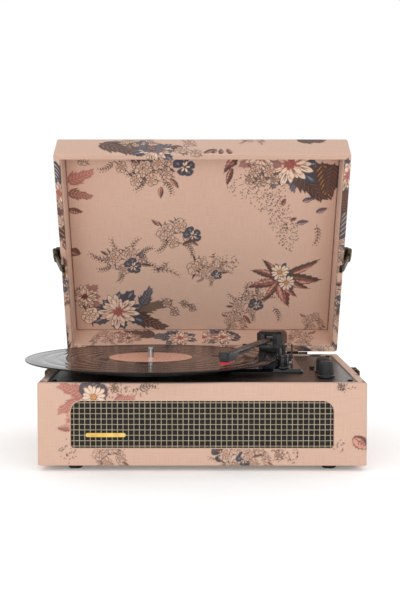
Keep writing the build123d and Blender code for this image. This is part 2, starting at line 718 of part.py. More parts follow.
def speed_lever():
    """The sliding lever of the speed switch."""
    stem = block(SWITCH_X - 1.5, SWITCH_X + 1.5, SWITCH_Y - 2, SWITCH_Y + 2, -11, 2.2)
    cap = block(SWITCH_X - 3, SWITCH_X + 3, SWITCH_Y - 3, SWITCH_Y + 3, 0.8, 3.8)
    return stem + chamfer(cap.edges().group_by(Axis.Z)[-1], 0.6)


# ---------------------------------------------------------------- hinges
def hinge_screw_places(side):
    """(x, z) of the hinge screws on the case (side -1) or on the closed lid (side +1)."""
    return [(s * HINGE_X + dx, HINGE_Z + side * 14.0) for s in (-1, 1) for dx in (-12, 12)]


def hinge_leaf(x, side):
    """One leaf: side -1 on the case with two end knuckles, side +1 on the lid with a middle knuckle."""
    edge, far = HINGE_Z + side * 3.2, HINGE_Z + side * 22.0
    plate = block(x - HINGE_W / 2, x + HINGE_W / 2, HALF_D, HALF_D + LEAF_T, min(edge, far), max(edge, far))
    spans = [(-HINGE_W / 2, -8.2), (8.2, HINGE_W / 2)] if side < 0 else [(-7.8, 7.8)]
    for a, b in spans:
        web = block(x + a, x + b, HALF_D, HALF_D + LEAF_T, min(edge, HINGE_Z), max(edge, HINGE_Z))
        plate = plate + web + rod_x(x + a, x + b, HINGE_Y, HINGE_Z, BARREL_R)
    bore = PIN_R + (0.02 if side < 0 else RUN)
    plate -= rod_x(x - HINGE_W, x + HINGE_W, HINGE_Y, HINGE_Z, bore)
    return plate - [rod_y(px, HALF_D - 1, HALF_D + 5, pz, 1.4) for px, pz in hinge_screw_places(side)]


def hinge_pins():
    """The two hinge pins."""
    half = HINGE_W / 2
    return group(rod_x(s * HINGE_X - half, s * HINGE_X + half, HINGE_Y, HINGE_Z, PIN_R) for s in (-1, 1))


def hinge_screws(side):
    """The screws in the hinge leaves."""
    return [
        screw((x, HALF_D + LEAF_T, z), (0, 1, 0), 2.4, 0.9, 8.5 - LEAF_T) for x, z in hinge_screw_places(side)
    ]


# ---------------------------------------------------------------- latches
def mirrored(shape, s):
    """The shape as it is for the right side (s = 1), or mirrored for the left."""
    return shape if s > 0 else mirror(shape, Plane.YZ)


def latch_plates():
    """Plates on the lid's side walls with two ears for the hasp's axle."""
    half = LATCH_PLATE_W / 2
    plate = block(HALF_W, HALF_W + 1.4, -half, half, RIM_Z + 1.0, RIM_Z + 21.0)
    plate = chamfer(plate.edges().filter_by(Axis.X).group_by(Axis.Z)[-1], 4.0)
    for y in (-half, half - 2.4):
        plate += block(HALF_W + 1.0, HASP_X, y, y + 2.4, HASP_Z - 2.4, HASP_Z + 2.4)
        plate += rod_y(HASP_X, y, y + 2.4, HASP_Z, 2.4)
    plate -= rod_y(HASP_X, -20, 20, HASP_Z, HASP_PIN_R + RUN)
    plate -= [rod_x(HALF_W - 1, HALF_W + 5, y, z, 1.2) for y, z in LATCH_SCREWS]
    return group(opened(mirrored(plate, s)) for s in (-1, 1))


def hasp(s):
    """A cast hasp: an axle, a rounded boss, and a tapering tail that ends in an inward hook."""
    x, z = HASP_X, HASP_Z
    body = rod_y(x, -7.2, 7.2, z, 2.2) + rod_y(x, -9.9, 9.9, z, HASP_PIN_R)
    boss = block(x + 0.6, x + 6.4, -6.5, 6.5, z - 7.5, z + 6.5)
    boss = fillet(boss.edges().group_by(Axis.X)[-1], 2.2)
    outside = [(1.4, -6), (5.0, -6), (2.6, -33), (0.4, -38.5), (-3.2, -38.5)]
    inside = [(-3.2, -36.2), (-0.8, -35.6), (0.6, -31)]
    outline = Polyline(*[(x + a, z + b) for a, b in outside + inside], close=True)
    tail = extrude(Plane.XZ * make_face(outline), 4.6, both=True)
    shape = (body + boss + tail).rotate(Axis((x, 0, z), (0, 1, 0)), HASP_HANG)
    return opened(mirrored(shape, s))


def latch_catches():
    """Catches on the case's side walls: two ears that guide the hasp and a bar for its hook."""
    top, wing = RIM_Z - 1.6, RIM_Z - 11.6
    plate = block(HALF_W, HALF_W + 1.4, -12, 12, RIM_Z - 33.5, top)
    for y in (-12.0, 9.6):
        ear = block(HALF_W + 1.0, HALF_W + 9.5, y, y + 2.4, wing, top)
        plate += chamfer(ear.edges().filter_by(Axis.Y).group_by(Axis.X)[-1], 2.0)
        plate += block(HALF_W + 1.0, HALF_W + 4.4, y, y + 2.4, wing - 14, wing + 0.2)
    plate += block(HALF_W + 1.0, HALF_W + 3.4, -9.8, 9.8, wing - 13, wing - 9.4)
    plate -= [rod_x(HALF_W - 1, HALF_W + 1.5, y, CATCH_SCREW_Z, 1.4) for y in (-8.5, 8.5)]
    return group(mirrored(plate, s) for s in (-1, 1))


def catch_screws():
    """The screws in the catches."""
    return [screw((s * (HALF_W + 1.4), y, CATCH_SCREW_Z), (s, 0, 0), 2.4, 0.9, 7.0) for s, y in CATCH_SCREWS]


def lid_latch_screws():
    """The screws in the latch plates, on the closed lid."""
    places = [(s, y, z) for s in (-1, 1) for y, z in LATCH_SCREWS]
    return [screw((s * (HALF_W + 1.4), y, z), (s, 0, 0), 2.2, 0.9, 6.0) for s, y, z in places]


# ---------------------------------------------------------------- lid
def lid_frame():
    """The four lid walls, open above and below."""
    shell = rounded_block(CASE_W, CASE_D, RIM_Z, LID_TOP_Z - PANEL_T, CORNER_R)
    inner_x, inner_y = HALF_W - LID_WALL, HALF_D - LID_WALL
    shell -= block(-inner_x, inner_x, -inner_y, inner_y, RIM_Z - 1, LID_TOP_Z)
    shell -= [rod_y(x, HALF_D - 7.3, HALF_D + 1, z, 1.4) for x, z in hinge_screw_places(1)]
    shell -= [rod_x(*span(s, HALF_W - 6, HALF_W + 1), y, z, 1.2) for s in (-1, 1) for y, z in LATCH_SCREWS]
    return opened(shell)


def lid_panel():
    """The lid's top board."""
    return opened(rounded_block(CASE_W, CASE_D, LID_TOP_Z - PANEL_T, LID_TOP_Z, CORNER_R))


def lid_back_board():
    """The thin back board inside the lid."""
    gap = LID_WALL + LINER_T + 0.6
    z0 = RIM_Z + LID_DEPTH
    board = rounded_block(CASE_W - 2 * gap, CASE_D - 2 * gap, z0, z0 + BOARD_COVER_T, 1.0)
    return opened(board)


def lid_liner():
    """Thin liners on the inner faces of the walls, set back from the rim."""
    inner_x, inner_y = HALF_W - LID_WALL, HALF_D - LID_WALL
    z0, z1 = RIM_Z + LINER_SETBACK, RIM_Z + LID_DEPTH + BOARD_COVER_T
    ring = block(-inner_x, inner_x, -inner_y, inner_y, z0, z1)
    room_x, room_y = inner_x - LINER_T, inner_y - LINER_T
    ring -= block(-room_x, room_x, -room_y, room_y, z0 - 1, z1 + 1)
    return opened(ring)


# ---------------------------------------------------------------- assembly
def on_case():
    """What is laid out from the floor."""
    return {
        "base_frame": base_frame(),
        "base_bottom": base_bottom(),
        "feet": feet(),
        "bottom_screws": bottom_screws(),
        "corner_blocks": corner_blocks(),
        "deck_board": deck_board(),
        "deck_screws": deck_screws(),
        "grille_cloth": grille_cloth(),
        "grille_wires": grille_wires(),
        "grille_badge": grille_badge(),
        "speaker_baffle": speaker_baffle(),
        "speaker_baskets": speaker_baskets(),
        "speaker_cones": speaker_cones(),
        "hinge_base_leaves": group(hinge_leaf(s * HINGE_X, -1) for s in (-1, 1)),
        "hinge_pins": hinge_pins(),
        "case_hardware_screws": group(hinge_screws(-1) + catch_screws()),
        "latch_catches": latch_catches(),
        "circuit_board": circuit_board(),
        "board_standoffs": board_standoffs(),
        "jack_plate": jack_plate(),
        "rca_jacks": rca_jacks(),
        "aux_jack": aux_jack(),
        "power_jack": power_jack(),
    }


def on_lid():
    """The lid's pieces, already opened."""
    return {
        "lid_frame": lid_frame(),
        "lid_panel": lid_panel(),
        "lid_liner": lid_liner(),
        "lid_back_board": lid_back_board(),
        "hinge_lid_leaves": group(opened(hinge_leaf(s * HINGE_X, 1)) for s in (-1, 1)),
        "lid_hardware_screws": group(opened(piece) for piece in hinge_screws(1) + lid_latch_screws()),
        "latch_plates": latch_plates(),
        "hasp_left": hasp(-1),
        "hasp_right": hasp(1),
    }


def on_deck():
    """What is laid out from the top of the deck."""
    made = {
        "spindle": spindle(),
        "spindle_bearing": spindle_bearing(),
        "platter": platter(),
        "slip_mat": slip_mat(),
        "record": record(),
        "record_label": record_label(),
        "motor": motor(),
        "motor_pulley": motor_pulley(),
        "drive_belt": drive_belt(),
        "tonearm_plate": tonearm_plate(),
        "plate_screws": plate_screws(),
        "arm_rest": arm_rest(),
        "pivot_post": pivot_post(),
        "arm_yoke": arm_yoke(),
        "pivot_cap": pivot_cap(),
        "arm_tube": arm_tube(),
        "headshell": headshell(),
        "cartridge": cartridge(),
        "stylus": stylus(),
        "cue_platform": cue_platform(),
        "cue_housing": cue_housing(),
        "cue_lever": cue_lever(),
        "volume_knob": knob(*KNOBS["volume"]),
        "pitch_knob": knob(*KNOBS["pitch"]),
        "potentiometers": potentiometers(),
        "speed_switch": speed_switch(),
        "speed_lever": speed_lever(),
    }
    return {name: Pos(0, 0, DECK_Z) * shape for name, shape in made.items()}


def middle(made):
    """The middle in plan of everything's box."""
    boxes = [shape.bounding_box() for shape in made.values()]
    x = (min(b.min.X for b in boxes) + max(b.max.X for b in boxes)) / 2
    y = (min(b.min.Y for b in boxes) + max(b.max.Y for b in boxes)) / 2
    return x, y


def main():
    """Writes every node, shifted so that the origin is under the middle of the whole box."""
    os.makedirs("parts", exist_ok=True)
    made = on_case() | on_lid() | on_deck()
    x, y = middle(made)
    print(f"the case's middle is at x {-x:.4f}, y {-y:.4f} in the row frame")
    for name, shape in made.items():
        export_step(Pos(-x, -y, 0) * shape, f"parts/{name}.step")


if __name__ == "__main__":
    main()
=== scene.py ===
"""Looks of the suitcase record player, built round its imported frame."""

import json
from math import cos, log, pi, radians, sin
from random import Random

import bpy
import numpy as np
from mathutils import Matrix, Vector

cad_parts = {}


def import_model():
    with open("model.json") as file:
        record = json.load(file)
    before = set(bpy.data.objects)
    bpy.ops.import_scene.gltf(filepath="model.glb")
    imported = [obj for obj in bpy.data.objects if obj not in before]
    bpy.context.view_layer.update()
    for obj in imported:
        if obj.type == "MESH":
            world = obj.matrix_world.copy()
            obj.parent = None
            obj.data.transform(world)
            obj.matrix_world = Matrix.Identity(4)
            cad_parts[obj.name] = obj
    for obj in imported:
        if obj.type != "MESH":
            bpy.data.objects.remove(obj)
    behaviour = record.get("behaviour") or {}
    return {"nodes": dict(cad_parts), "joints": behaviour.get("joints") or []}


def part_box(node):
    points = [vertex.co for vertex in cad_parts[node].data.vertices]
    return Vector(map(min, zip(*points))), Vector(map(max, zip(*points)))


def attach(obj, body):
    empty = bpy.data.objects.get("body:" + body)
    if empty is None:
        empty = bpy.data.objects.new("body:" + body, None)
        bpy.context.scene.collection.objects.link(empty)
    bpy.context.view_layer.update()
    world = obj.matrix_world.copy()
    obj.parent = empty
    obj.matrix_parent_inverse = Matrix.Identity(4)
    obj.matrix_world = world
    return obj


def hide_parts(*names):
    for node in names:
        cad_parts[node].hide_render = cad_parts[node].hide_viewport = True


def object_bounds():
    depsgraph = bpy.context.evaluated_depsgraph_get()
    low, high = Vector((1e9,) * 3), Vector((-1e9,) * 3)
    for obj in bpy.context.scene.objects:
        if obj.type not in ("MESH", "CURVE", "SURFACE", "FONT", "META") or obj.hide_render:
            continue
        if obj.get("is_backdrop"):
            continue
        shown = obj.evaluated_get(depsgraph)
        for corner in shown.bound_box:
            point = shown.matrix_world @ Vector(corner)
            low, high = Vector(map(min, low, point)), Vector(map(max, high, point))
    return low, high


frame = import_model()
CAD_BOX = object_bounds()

# ---------------------------------------------------------------- sizes
# Lengths are in millimetres in the case's frame: X to the right, Y to the back, Z up,
# with its origin on the floor under the middle of the case.
MM = 0.001
case_low, case_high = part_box("base_frame")
CASE_X = (case_low.x + case_high.x) / 2
CASE_Y = (case_low.y + case_high.y) / 2
HALF_W = (case_high.x - case_low.x) / 2 / MM
HALF_D = (case_high.y - case_low.y) / 2 / MM
BASE_Z = case_low.z / MM
RIM_Z = case_high.z / MM
DECK_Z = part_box("deck_board")[1].z / MM
WALL = 9.0
CORNER_R = 3.0
EDGE_R = 1.2

LID_H = 44.0
LID_WALL = 7.5
LID_DEPTH = 38.6
LID_TOP_Z = RIM_Z + LID_H
LINER_T = 1.5
LINER_SETBACK = 4.0
PANEL_GAP = 0.6
LID_OPEN = radians(61.5)
LID_AXLE = next(Vector(j["pos_m"]) for j in frame["joints"] if j["name"] == "lid_hinge")

GRILLE_W = 288.8
GRILLE_Z = (25.5, 77.6)
GRILLE_TOP_R, GRILLE_BOTTOM_R = 12.0, 3.5
WIRE_COLUMNS, WIRE_ROWS = 48, 9
WIRE_PITCH = 6.0
WIRE_R = 0.4
WIRE_SWING = 0.22
JACKS_X = (60.0, 150.0)
JACKS_Z = (32.0, 58.0)

SPINDLE = (-62.0, -12.5)
RECORD_R = 150.8
RECORD_Z = DECK_Z + 15.4
RECORD_T = 2.0
LABEL_R = 50.0
HOLE_R = 3.64

PITCH = 0.9  # between the lines of the cloth's mesh
BOARD_PITCH = 0.7  # the same on the lid's back board
DOT = 0.25  # the print's own fineness
LINING_PAINTED_LIGHT = 1.16  # painted light: how much the lining's colours are brightened over the outside's, in place of light the lid's hollow lacks
# The lining's walls get a little more of this painted light than its back board.
LINING_WALL_PAINTED_LIGHT = LINING_PAINTED_LIGHT * 1.06

FLOOR_SIZE = 60.0  # metres
CAMERA_AT = (0.13, -1412.5, 269.9)
CAMERA_DOWN = radians(3.67)
CAMERA_TURN = 0.002
CAMERA_LENS = 69.94


def at(x, y, z):
    """A point of the case's frame, in the row's metres."""
    return Vector((CASE_X + x * MM, CASE_Y + y * MM, z * MM))


def on_lid(x, y, z):
    """A point of the closed lid, where it is with the lid as it stands."""
    turn = Matrix.Rotation(LID_OPEN, 3, (-1, 0, 0))
    return LID_AXLE + turn @ (at(x, y, z) - LID_AXLE)


# ---------------------------------------------------------------- colours
def linear(r, g, b):
    """A colour given in display values from 0 to 255, as the shaders take it."""
    values = (c / 255 for c in (r, g, b))
    return tuple(v / 12.92 if v < 0.04045 else ((v + 0.055) / 1.055) ** 2.4 for v in values)


INKS = {
    "ground": linear(202, 168, 149),
    "cream": linear(226, 198, 176),
    "blush": linear(206, 146, 128),
    "rose": linear(158, 102, 92),
    "rust": linear(126, 80, 70),
    "maroon": linear(92, 56, 50),
    "brown": linear(68, 51, 44),
    "olive": linear(98, 82, 66),
    "slate": linear(58, 62, 74),
    "mist": linear(128, 126, 130),
    "mauve": linear(136, 110, 122),
    "line": linear(64, 46, 40),
    "red": linear(152, 84, 76),
    "amber": linear(206, 138, 74),
    "seam": linear(176, 138, 118),
}


# ---------------------------------------------------------------- print shapes
# A motif is a list of (outline, ink) layers, the lowest first, in millimetres round its own origin.
def leaf_outline(length, width, widest=0.45, teeth=0.0, steps=10, blunt=1.0, bend=0.0):
    """A leaf along +X. teeth is how deep its edge is notched, and blunt under 1 rounds its tip."""
    power = log(0.5) / log(widest)
    upper = []
    for i in range(1, steps):
        t = i / steps
        half = width / 2 * sin(pi * t**power) ** blunt
        notch = teeth if i % 2 else 0.0
        upper.append((length * (t - 0.06 * (notch > 0)), half * (1 - notch)))
    lower = [(x, -y) for x, y in reversed(upper)]
    outline = [(0.0, 0.0)] + upper + [(length, 0.0)] + lower
    return [(x, y + bend * x * x / length) for x, y in outline]


def stroke(length, width=0.9, widest=0.4):
    """A short drawn line along +X."""
    return leaf_outline(length, width, widest, steps=3)


def spot(r, n=6):
    """A small round dot."""
    return [(r * cos(2 * pi * i / n), r * sin(2 * pi * i / n)) for i in range(n)]


def turned(outline, angle, x=0.0, y=0.0, size=1.0):
    """An outline scaled, turned by an angle in degrees, and moved."""
    c, s = cos(radians(angle)) * size, sin(radians(angle)) * size
    return [(x + a * c - b * s, y + a * s + b * c) for a, b in outline]


def placed(motif, x, y, angle=0.0, size=1.0):
    """A motif at its place."""
    return [(turned(outline, angle, x, y, size), ink) for outline, ink in motif]


def laid_out(entries):
    """The layers of several motifs, each given as (motif, x, y), (..., angle) or (..., angle, size)."""
    layers = []
    for motif, *place in entries:
        layers += placed(motif, *place)
    return layers


def ring_of(motif, count, reach=0.0, start=0.0, sway=0.1):
    """count copies of a motif round the origin, reach away from it, no two quite alike."""
    layers = []
    for i in range(count):
        angle = start + 360 * (i + 0.9 * sway * sin(2.4 * i)) / count
        size = 1 + sway * sin(1.7 * i + start)
        layers += placed(motif, reach * cos(radians(angle)), reach * sin(radians(angle)), angle, size)
    return layers


def leaf(length, width, edge="brown", body="rust", teeth=0.16, bend=0.12):
    """A curved leaf: one half dark, the other warm, with a pale streak, a midrib and side veins."""
    layers = [(leaf_outline(length, width, 0.42, teeth, 14, bend=bend), edge)]
    inner = leaf_outline(length * 0.86, width * 0.6, 0.4, teeth * 0.6, bend=bend)
    layers.append((turned(inner, -2, length * 0.05, -width * 0.06), body))
    streak = leaf_outline(length * 0.6, width * 0.2, 0.4, bend=bend)
    layers.append((turned(streak, -3, length * 0.14, -width * 0.12), "blush"))
    layers.append((leaf_outline(length * 0.9, 1.1, 0.3, steps=6, bend=bend), edge))
    for i in range(1, 5):
        for side in (-1, 1):
            along = length * (0.12 + 0.15 * i)
            vein = stroke(width * 0.42, widest=0.3)
            layers.append((turned(vein, side * 38, along, bend * along * along / length), edge))
    return layers


def feather(length, width, ink, streak):
    """A dark plume leaf whose edge is cut into hanging points, with pale streaks."""
    barbs = 7
    layers = [(leaf_outline(length * 0.9, width * 0.5, 0.5), ink)]
    for i in range(barbs):
        t = (i + 0.6) / barbs
        reach = width * (0.75 - 0.35 * t)
        for side in (-1, 1):
            grow = 1 + 0.15 * sin(2.1 * i + side)
            barb = leaf_outline(reach * grow, width * 0.26, 0.35, steps=6, bend=-0.15 * side)
            layers.append((turned(barb, side * (52 - 26 * t), length * t * 0.82), ink))
    for i in range(barbs):
        t = (i + 0.6) / barbs
        for side in (-1, 1):
            pale = turned(stroke(width * 0.4), side * (50 - 26 * t), length * t * 0.8 + 2)
            layers.append((pale, streak))
    return layers


def drawn_petal(length, width, line="line", fill="ground", widest=0.62, rim=0.7, blunt=0.75):
    """A petal drawn as a thin outline round the cloth's own colour."""
    inner = leaf_outline(length - 2 * rim, max(width - 2 * rim, 0.6), widest, blunt=blunt)
    return [(leaf_outline(length, width, widest, blunt=blunt), line), (turned(inner, 0, rim), fill)]


def line_flower(r, petals=6, heart="amber", fill="ground"):
    """A blossom in outline: two rings of drawn petals round a dotted heart."""
    outer = drawn_petal(r, r * 0.8, "line", fill, blunt=0.6)
    inner = drawn_petal(r * 0.6, r * 0.42, "line", fill, blunt=0.6)
    layers = ring_of([(leaf_outline(r * 1.25, r * 0.16, 0.6), "line")], petals, start=30, sway=0.3)
    layers += ring_of(outer, petals, sway=0.16)
    layers += ring_of([(turned(stroke(r * 0.3), 8, r * 0.5, 0.6), "line")], petals, sway=0.16)
    layers += ring_of(inner, petals, start=180 / petals, sway=0.16)
    layers += ring_of([(spot(0.7, 5), "line")], 6, r * 0.24)
    layers.append((spot(r * 0.13), heart))
    return layers


def daisy(r, petals=12):
    """White petals with drawn edges over a dark back."""
    layers = ring_of([(leaf_outline(r * 1.16, r * 0.42, 0.7), "slate")], petals // 2)
    layers += ring_of(drawn_petal(r, r * 0.4, "line", "cream", 0.72), petals)
    layers.append((spot(r * 0.27, 10), "line"))
    layers.append((spot(r * 0.21, 10), "amber"))
    layers += ring_of([(spot(0.4, 5), "maroon")], 5, r * 0.1)
    return layers


def bloom(r, back="slate", heart="red"):
    """A full bloom: jagged dark petals behind, pale lined petals, and a small bright heart."""
    back_petal = [(leaf_outline(r * 1.12, r * 0.52, 0.66, 0.18, 12, 0.8), back)]
    for lean in (-7, 0, 7):
        back_petal.append((turned(stroke(r * 0.34), lean, r * 0.68), "mist"))
    layers = ring_of(back_petal, 9, sway=0.2)
    front = drawn_petal(r * 0.84, r * 0.25, "line", "cream", 0.68)
    for lean in (-6, 6):
        front.append((turned(stroke(r * 0.4), lean, r * 0.3), "line"))
    layers += ring_of(front, 17, sway=0.18)
    layers += ring_of(drawn_petal(r * 0.58, r * 0.2, "rose", "cream", 0.7), 13, start=9, sway=0.2)
    layers += ring_of([(leaf_outline(r * 0.42, r * 0.07, 0.5), "rose")], 9, start=20, sway=0.25)
    layers += ring_of([(leaf_outline(r * 0.26, r * 0.14, 0.6, steps=6), heart)], 7)
    layers += ring_of([(spot(0.6, 5), "maroon")], 5, r * 0.12)
    return layers


def pansy(r):
    """A small dark five-lobed flower with a pale heart."""
    lobe = [(leaf_outline(r, r * 0.86, 0.7, blunt=0.5), "slate")]
    for lean in (-16, 0, 16):
        lobe.append((turned(stroke(r * 0.4, 0.6), lean, r * 0.42), "mist"))
    layers = ring_of(lobe, 5, start=18, sway=0.14)
    layers += ring_of(drawn_petal(r * 0.5, r * 0.24, "line", "cream"), 6, sway=0.25)
    layers.append((spot(r * 0.1), "line"))
    return layers


def sprig(length):
    """A thin curved stem with small leaves and dots."""
    pairs = 6
    layers = []
    for i in range(pairs):
        t = (i + 1) / (pairs + 1)
        root = t - 1 / pairs
        x, y = length * t, length * 0.14 * sin(pi * t)
        stem = stroke(length / pairs * 1.3, widest=0.5)
        layers.append((turned(stem, 24 - 48 * t, length * root, length * 0.14 * sin(pi * root)), "line"))
        for side in (-1, 1):
            small = leaf_outline(4.4 * (1.25 - t), 1.7, 0.6, steps=5)
            layers.append((turned(small, side * 48, x, y), "line"))
            layers.append((turned(spot(0.8, 5), 0, x + 3.4, y + side * (4.2 - 2 * t)), "line"))
    return layers


def dots(rx, ry, count, seed):
    """A loose cloud of tiny seeds."""
    chance = Random(seed)
    layers = []
    for _ in range(count):
        angle, reach = chance.uniform(0, 2 * pi), chance.random() ** 0.6
        grain = leaf_outline(chance.uniform(1.4, 3.2), chance.uniform(0.8, 1.5), 0.5, steps=4)
        x, y = rx * reach * cos(angle), ry * reach * sin(angle)
        layers.append((turned(grain, chance.uniform(0, 360), x, y), "line"))
    return layers


def bud(length):
    """A rose bud in a dark cup."""
    layers = leaf(length, length * 0.44, "maroon", "rose", 0.0)
    layers.append((leaf_outline(length * 0.34, length * 0.4, 0.5), "brown"))
    return layers


def posy():
    """A spray of outlined blossoms with a dark pansy."""
    return laid_out([
        (sprig(34), -4, 6, 118),
        (sprig(30), 4, 8, 62),
        (sprig(36), -12, 0, 168),
        (sprig(30), 14, -4, -22),
        (dots(30, 20, 26, 5), -2, 2),
        (sprig(22), -20, -6, 200),
        (sprig(22), 16, 8, 30),
        (sprig(20), -8, -14, -110),
        (leaf(14, 5, "line", "olive"), 18, -6, -14),
        (leaf(12, 5, "line", "olive"), -26, 8, 140),
        (line_flower(11, 7), -19, 4),
        (line_flower(9.5), 3, 11, 20),
        (line_flower(8), -6, -14, 40),
        (line_flower(7), 19, 3),
        (pansy(12.5), 7, -9),
    ])


def garland():
    """A heap of outlined blossoms."""
    return laid_out([
        (sprig(24), 14, -12, -70),
        (sprig(24), -10, -8, -128),
        (leaf(14, 6, "line", "blush"), -20, 12, 130),
        (leaf(14, 6, "line", "blush"), 20, -10, -40),
        (line_flower(12, 7), -12, 3),
        (line_flower(10.5), 6, 12, 15),
        (line_flower(9), -3, -12, 30),
        (line_flower(8.5), 17, -3, 10),
        (dots(26, 24, 26, 9), 0, 0),
    ])


def twin_daisies():
    """Two daisies over a fan of reddish leaves."""
    layers = []
    upper = [(158, 42, 13), (124, 38, 11), (22, 62, 13), (-10, 58, 20), (-30, 46, 12)]
    lower = [(186, 46, 15), (-128, 40, 12), (-78, 44, 18), (-52, 36, 11)]
    for angle, length, width in upper:
        layers += placed(leaf(length, width), 0, 0, angle)
    for angle, length, width in lower:
        layers += placed(leaf(length, width, "maroon", "rose"), 0, -6, angle)
    return layers + placed(daisy(13), 0, 8) + placed(daisy(12), 9, -8, 14)


def peony():
    """The large bloom with its plume leaves."""
    return laid_out([
        (feather(62, 34, "brown", "rust"), 6, -8, -48),
        (feather(46, 24, "olive", "blush"), -6, -6, 202),
        (bloom(34), 0, 0),
    ])


# ---------------------------------------------------------------- where the print lies
# Each entry is (motif, x, y) on the cloth it belongs to, with an angle and a size where they matter.
INSIDE_PRINT = [
    (feather(50, 30, "brown", "amber"), 136, 110, -58),
    (feather(54, 34, "brown", "amber"), 150, 118, -80),
    (feather(46, 30, "brown", "rust"), 166, 116, -96),
    (feather(28, 17, "slate", "mist"), 102, 104, -122),
    (feather(28, 17, "slate", "mist"), 116, 102, -92),
    (peony(), 110, 114, 0, 0.98),
    (bloom(24, "rose", "red"), 73, 124, 10),
    (line_flower(9), 66, 104),
    (line_flower(8), 74, 90, 20),
    (line_flower(7), 60, 92),
    (dots(40, 22, 120, 21), 66, 84),
    (leaf(34, 12), 46, 128, -132),
    (leaf(26, 9), 38, 108, -112),
    (bud(14), 44, 116, -160),
    (line_flower(9), 84, 104),
    (line_flower(7), 92, 92),
    (dots(26, 26, 150, 1), 82, 72),
    (dots(17, 44, 260, 2), 104, 30, 18),
    (leaf(11, 7, "maroon", "rust"), 102, 56, 60),
    (leaf(9, 6, "maroon", "rust"), 114, 34, 20),
    (leaf(15, 8, "slate", "mauve", 0.3), 128, 62, 10, 1.1),
    (leaf(15, 8, "slate", "mauve", 0.3), 146, 46, 16, 1.1),
    (leaf(15, 8, "slate", "mauve", 0.3), 122, 30, 4, 1.1),
    (sprig(32), 148, 28, -96),
    (twin_daisies(), 103, -52),
    (posy(), 64, -92, 32, 0.85),
    (dots(30, 16, 130, 3), 74, -72, 30),
    (leaf(18, 8, "maroon", "rose"), 56, -112, -60),
    (garland(), 44, -122, 0, 0.6),
    (garland(), 150, -122, 0, 0.6),
    (sprig(26), 96, -98, -74),
    (posy(), -66, 116, 180, 0.9),
    (garland(), -62, 104),
    (line_flower(9), -84, 92),
    (line_flower(8), -102, 110),
    (leaf(17, 8, "brown", "blush"), -52, 82, -100),
    (leaf(15, 7, "brown", "blush"), -38, 92, -62),
    (pansy(15), -22, 110),
    (sprig(24), -110, 118, -150),
    (feather(40, 22, "rose", "blush"), -172, 88, 24),
    (feather(34, 18, "rust", "blush"), -172, 74, -12),
    (leaf(20, 10, "maroon", "rust"), -172, 50, -18),
    (leaf(16, 14, "maroon", "rust", 0.0), -174, -10, -30),
    (line_flower(8), -150, 120),
    (posy(), -98, -26),
    (sprig(34), -118, -24, 160),
    (pansy(5), -80, -18),
    (sprig(40), -66, -40, -18),
    (garland(), -36, 14),
    (pansy(12.5), -12, 12, 20),
    (leaf(17, 8, "brown", "olive"), -26, -2, 16),
    (line_flower(14, 8, "amber"), -6, -36),
    (posy(), 14, -44, 14, 0.62),
    (dots(26, 16, 110, 4), 22, -30),
    (sprig(26), -44, -28, -150),
    (feather(58, 24, "olive", "rust"), -92, -104, 14),
    (feather(54, 28, "brown", "rose"), -96, -112, -24),
    (bloom(31), -114, -106, 12),
    (bloom(20, "rose", "maroon"), -158, -82),
    (line_flower(13, 7, "amber", "cream"), -152, -112),
    (feather(34, 20, "slate", "mist"), -82, -98, 66),
    (line_flower(7), -48, -92),
    (line_flower(7), -38, -106),
    (line_flower(6), -24, -94, 30),
    (line_flower(6), -14, -100, 10),
]

# The band of cloth round the case or the lid: x runs along the front, then on round the right side.
FRONT_PRINT = [
    (feather(34, 20, "rose", "blush"), -126, 84, 160),
    (feather(30, 18, "rose", "blush"), -132, 78, 205),
    (leaf(27, 14, "rose", "blush", 0.3), -134, 74, 228),
    (pansy(17), -118, 87),
    (daisy(14, 14), -119, 82, 8),
    (dots(26, 9, 56, 11), -84, 88),
    (feather(26, 15, "rose", "blush"), -98, 76, 12),
    (line_flower(5), -96, 92),
    (sprig(24), -72, 90, 6),
    (leaf(18, 9, "rust", "blush", 0.3), -142, 47, 172),
    (dots(10, 15, 30, 12), -148, 20),
    (garland(), -103, 18, 0, 0.75),
    (sprig(20), -92, 26, 10),
    (pansy(11), 21, 19),
    (posy(), 40, 18, 12, 0.72),
    (garland(), 58, 17, 0, 0.66),
    (dots(20, 9, 40, 13), 92, 17),
    (line_flower(6), 84, 18),
    (dots(8, 8, 14, 14), 150, 26),
    (leaf(24, 17, "maroon", "blush", 0.2), 166, 38, -42),
    (line_flower(5), 152, 94),
    (dots(9, 5, 12, 15), 158, 92),
]
ROUND_PRINT = [
    (peony(), 240, 70, 20, 0.8),
    (posy(), 300, 30, 0, 0.9),
    (leaf(26, 12), 206, 88, 140),
    (twin_daisies(), 356, 76, 0, 0.8),
    (posy(), 414, 32, 0, 0.9),
    (peony(), 486, 54, 130, 0.9),
    (garland(), 560, 70, 0, 0.9),
    (twin_daisies(), 628, 40, 30, 0.85),
    (posy(), 700, 72, 0, 0.9),
    (peony(), -232, 46, 200, 0.8),
    (posy(), -290, 66, 0, 0.9),
    (leaf(26, 12), -204, 88, 40),
    (twin_daisies(), -356, 40, 60, 0.85),
    (garland(), -414, 68, 0, 0.9),
    (peony(), -490, 60, 40, 0.85),
    (posy(), -570, 34, 0, 0.9),
]
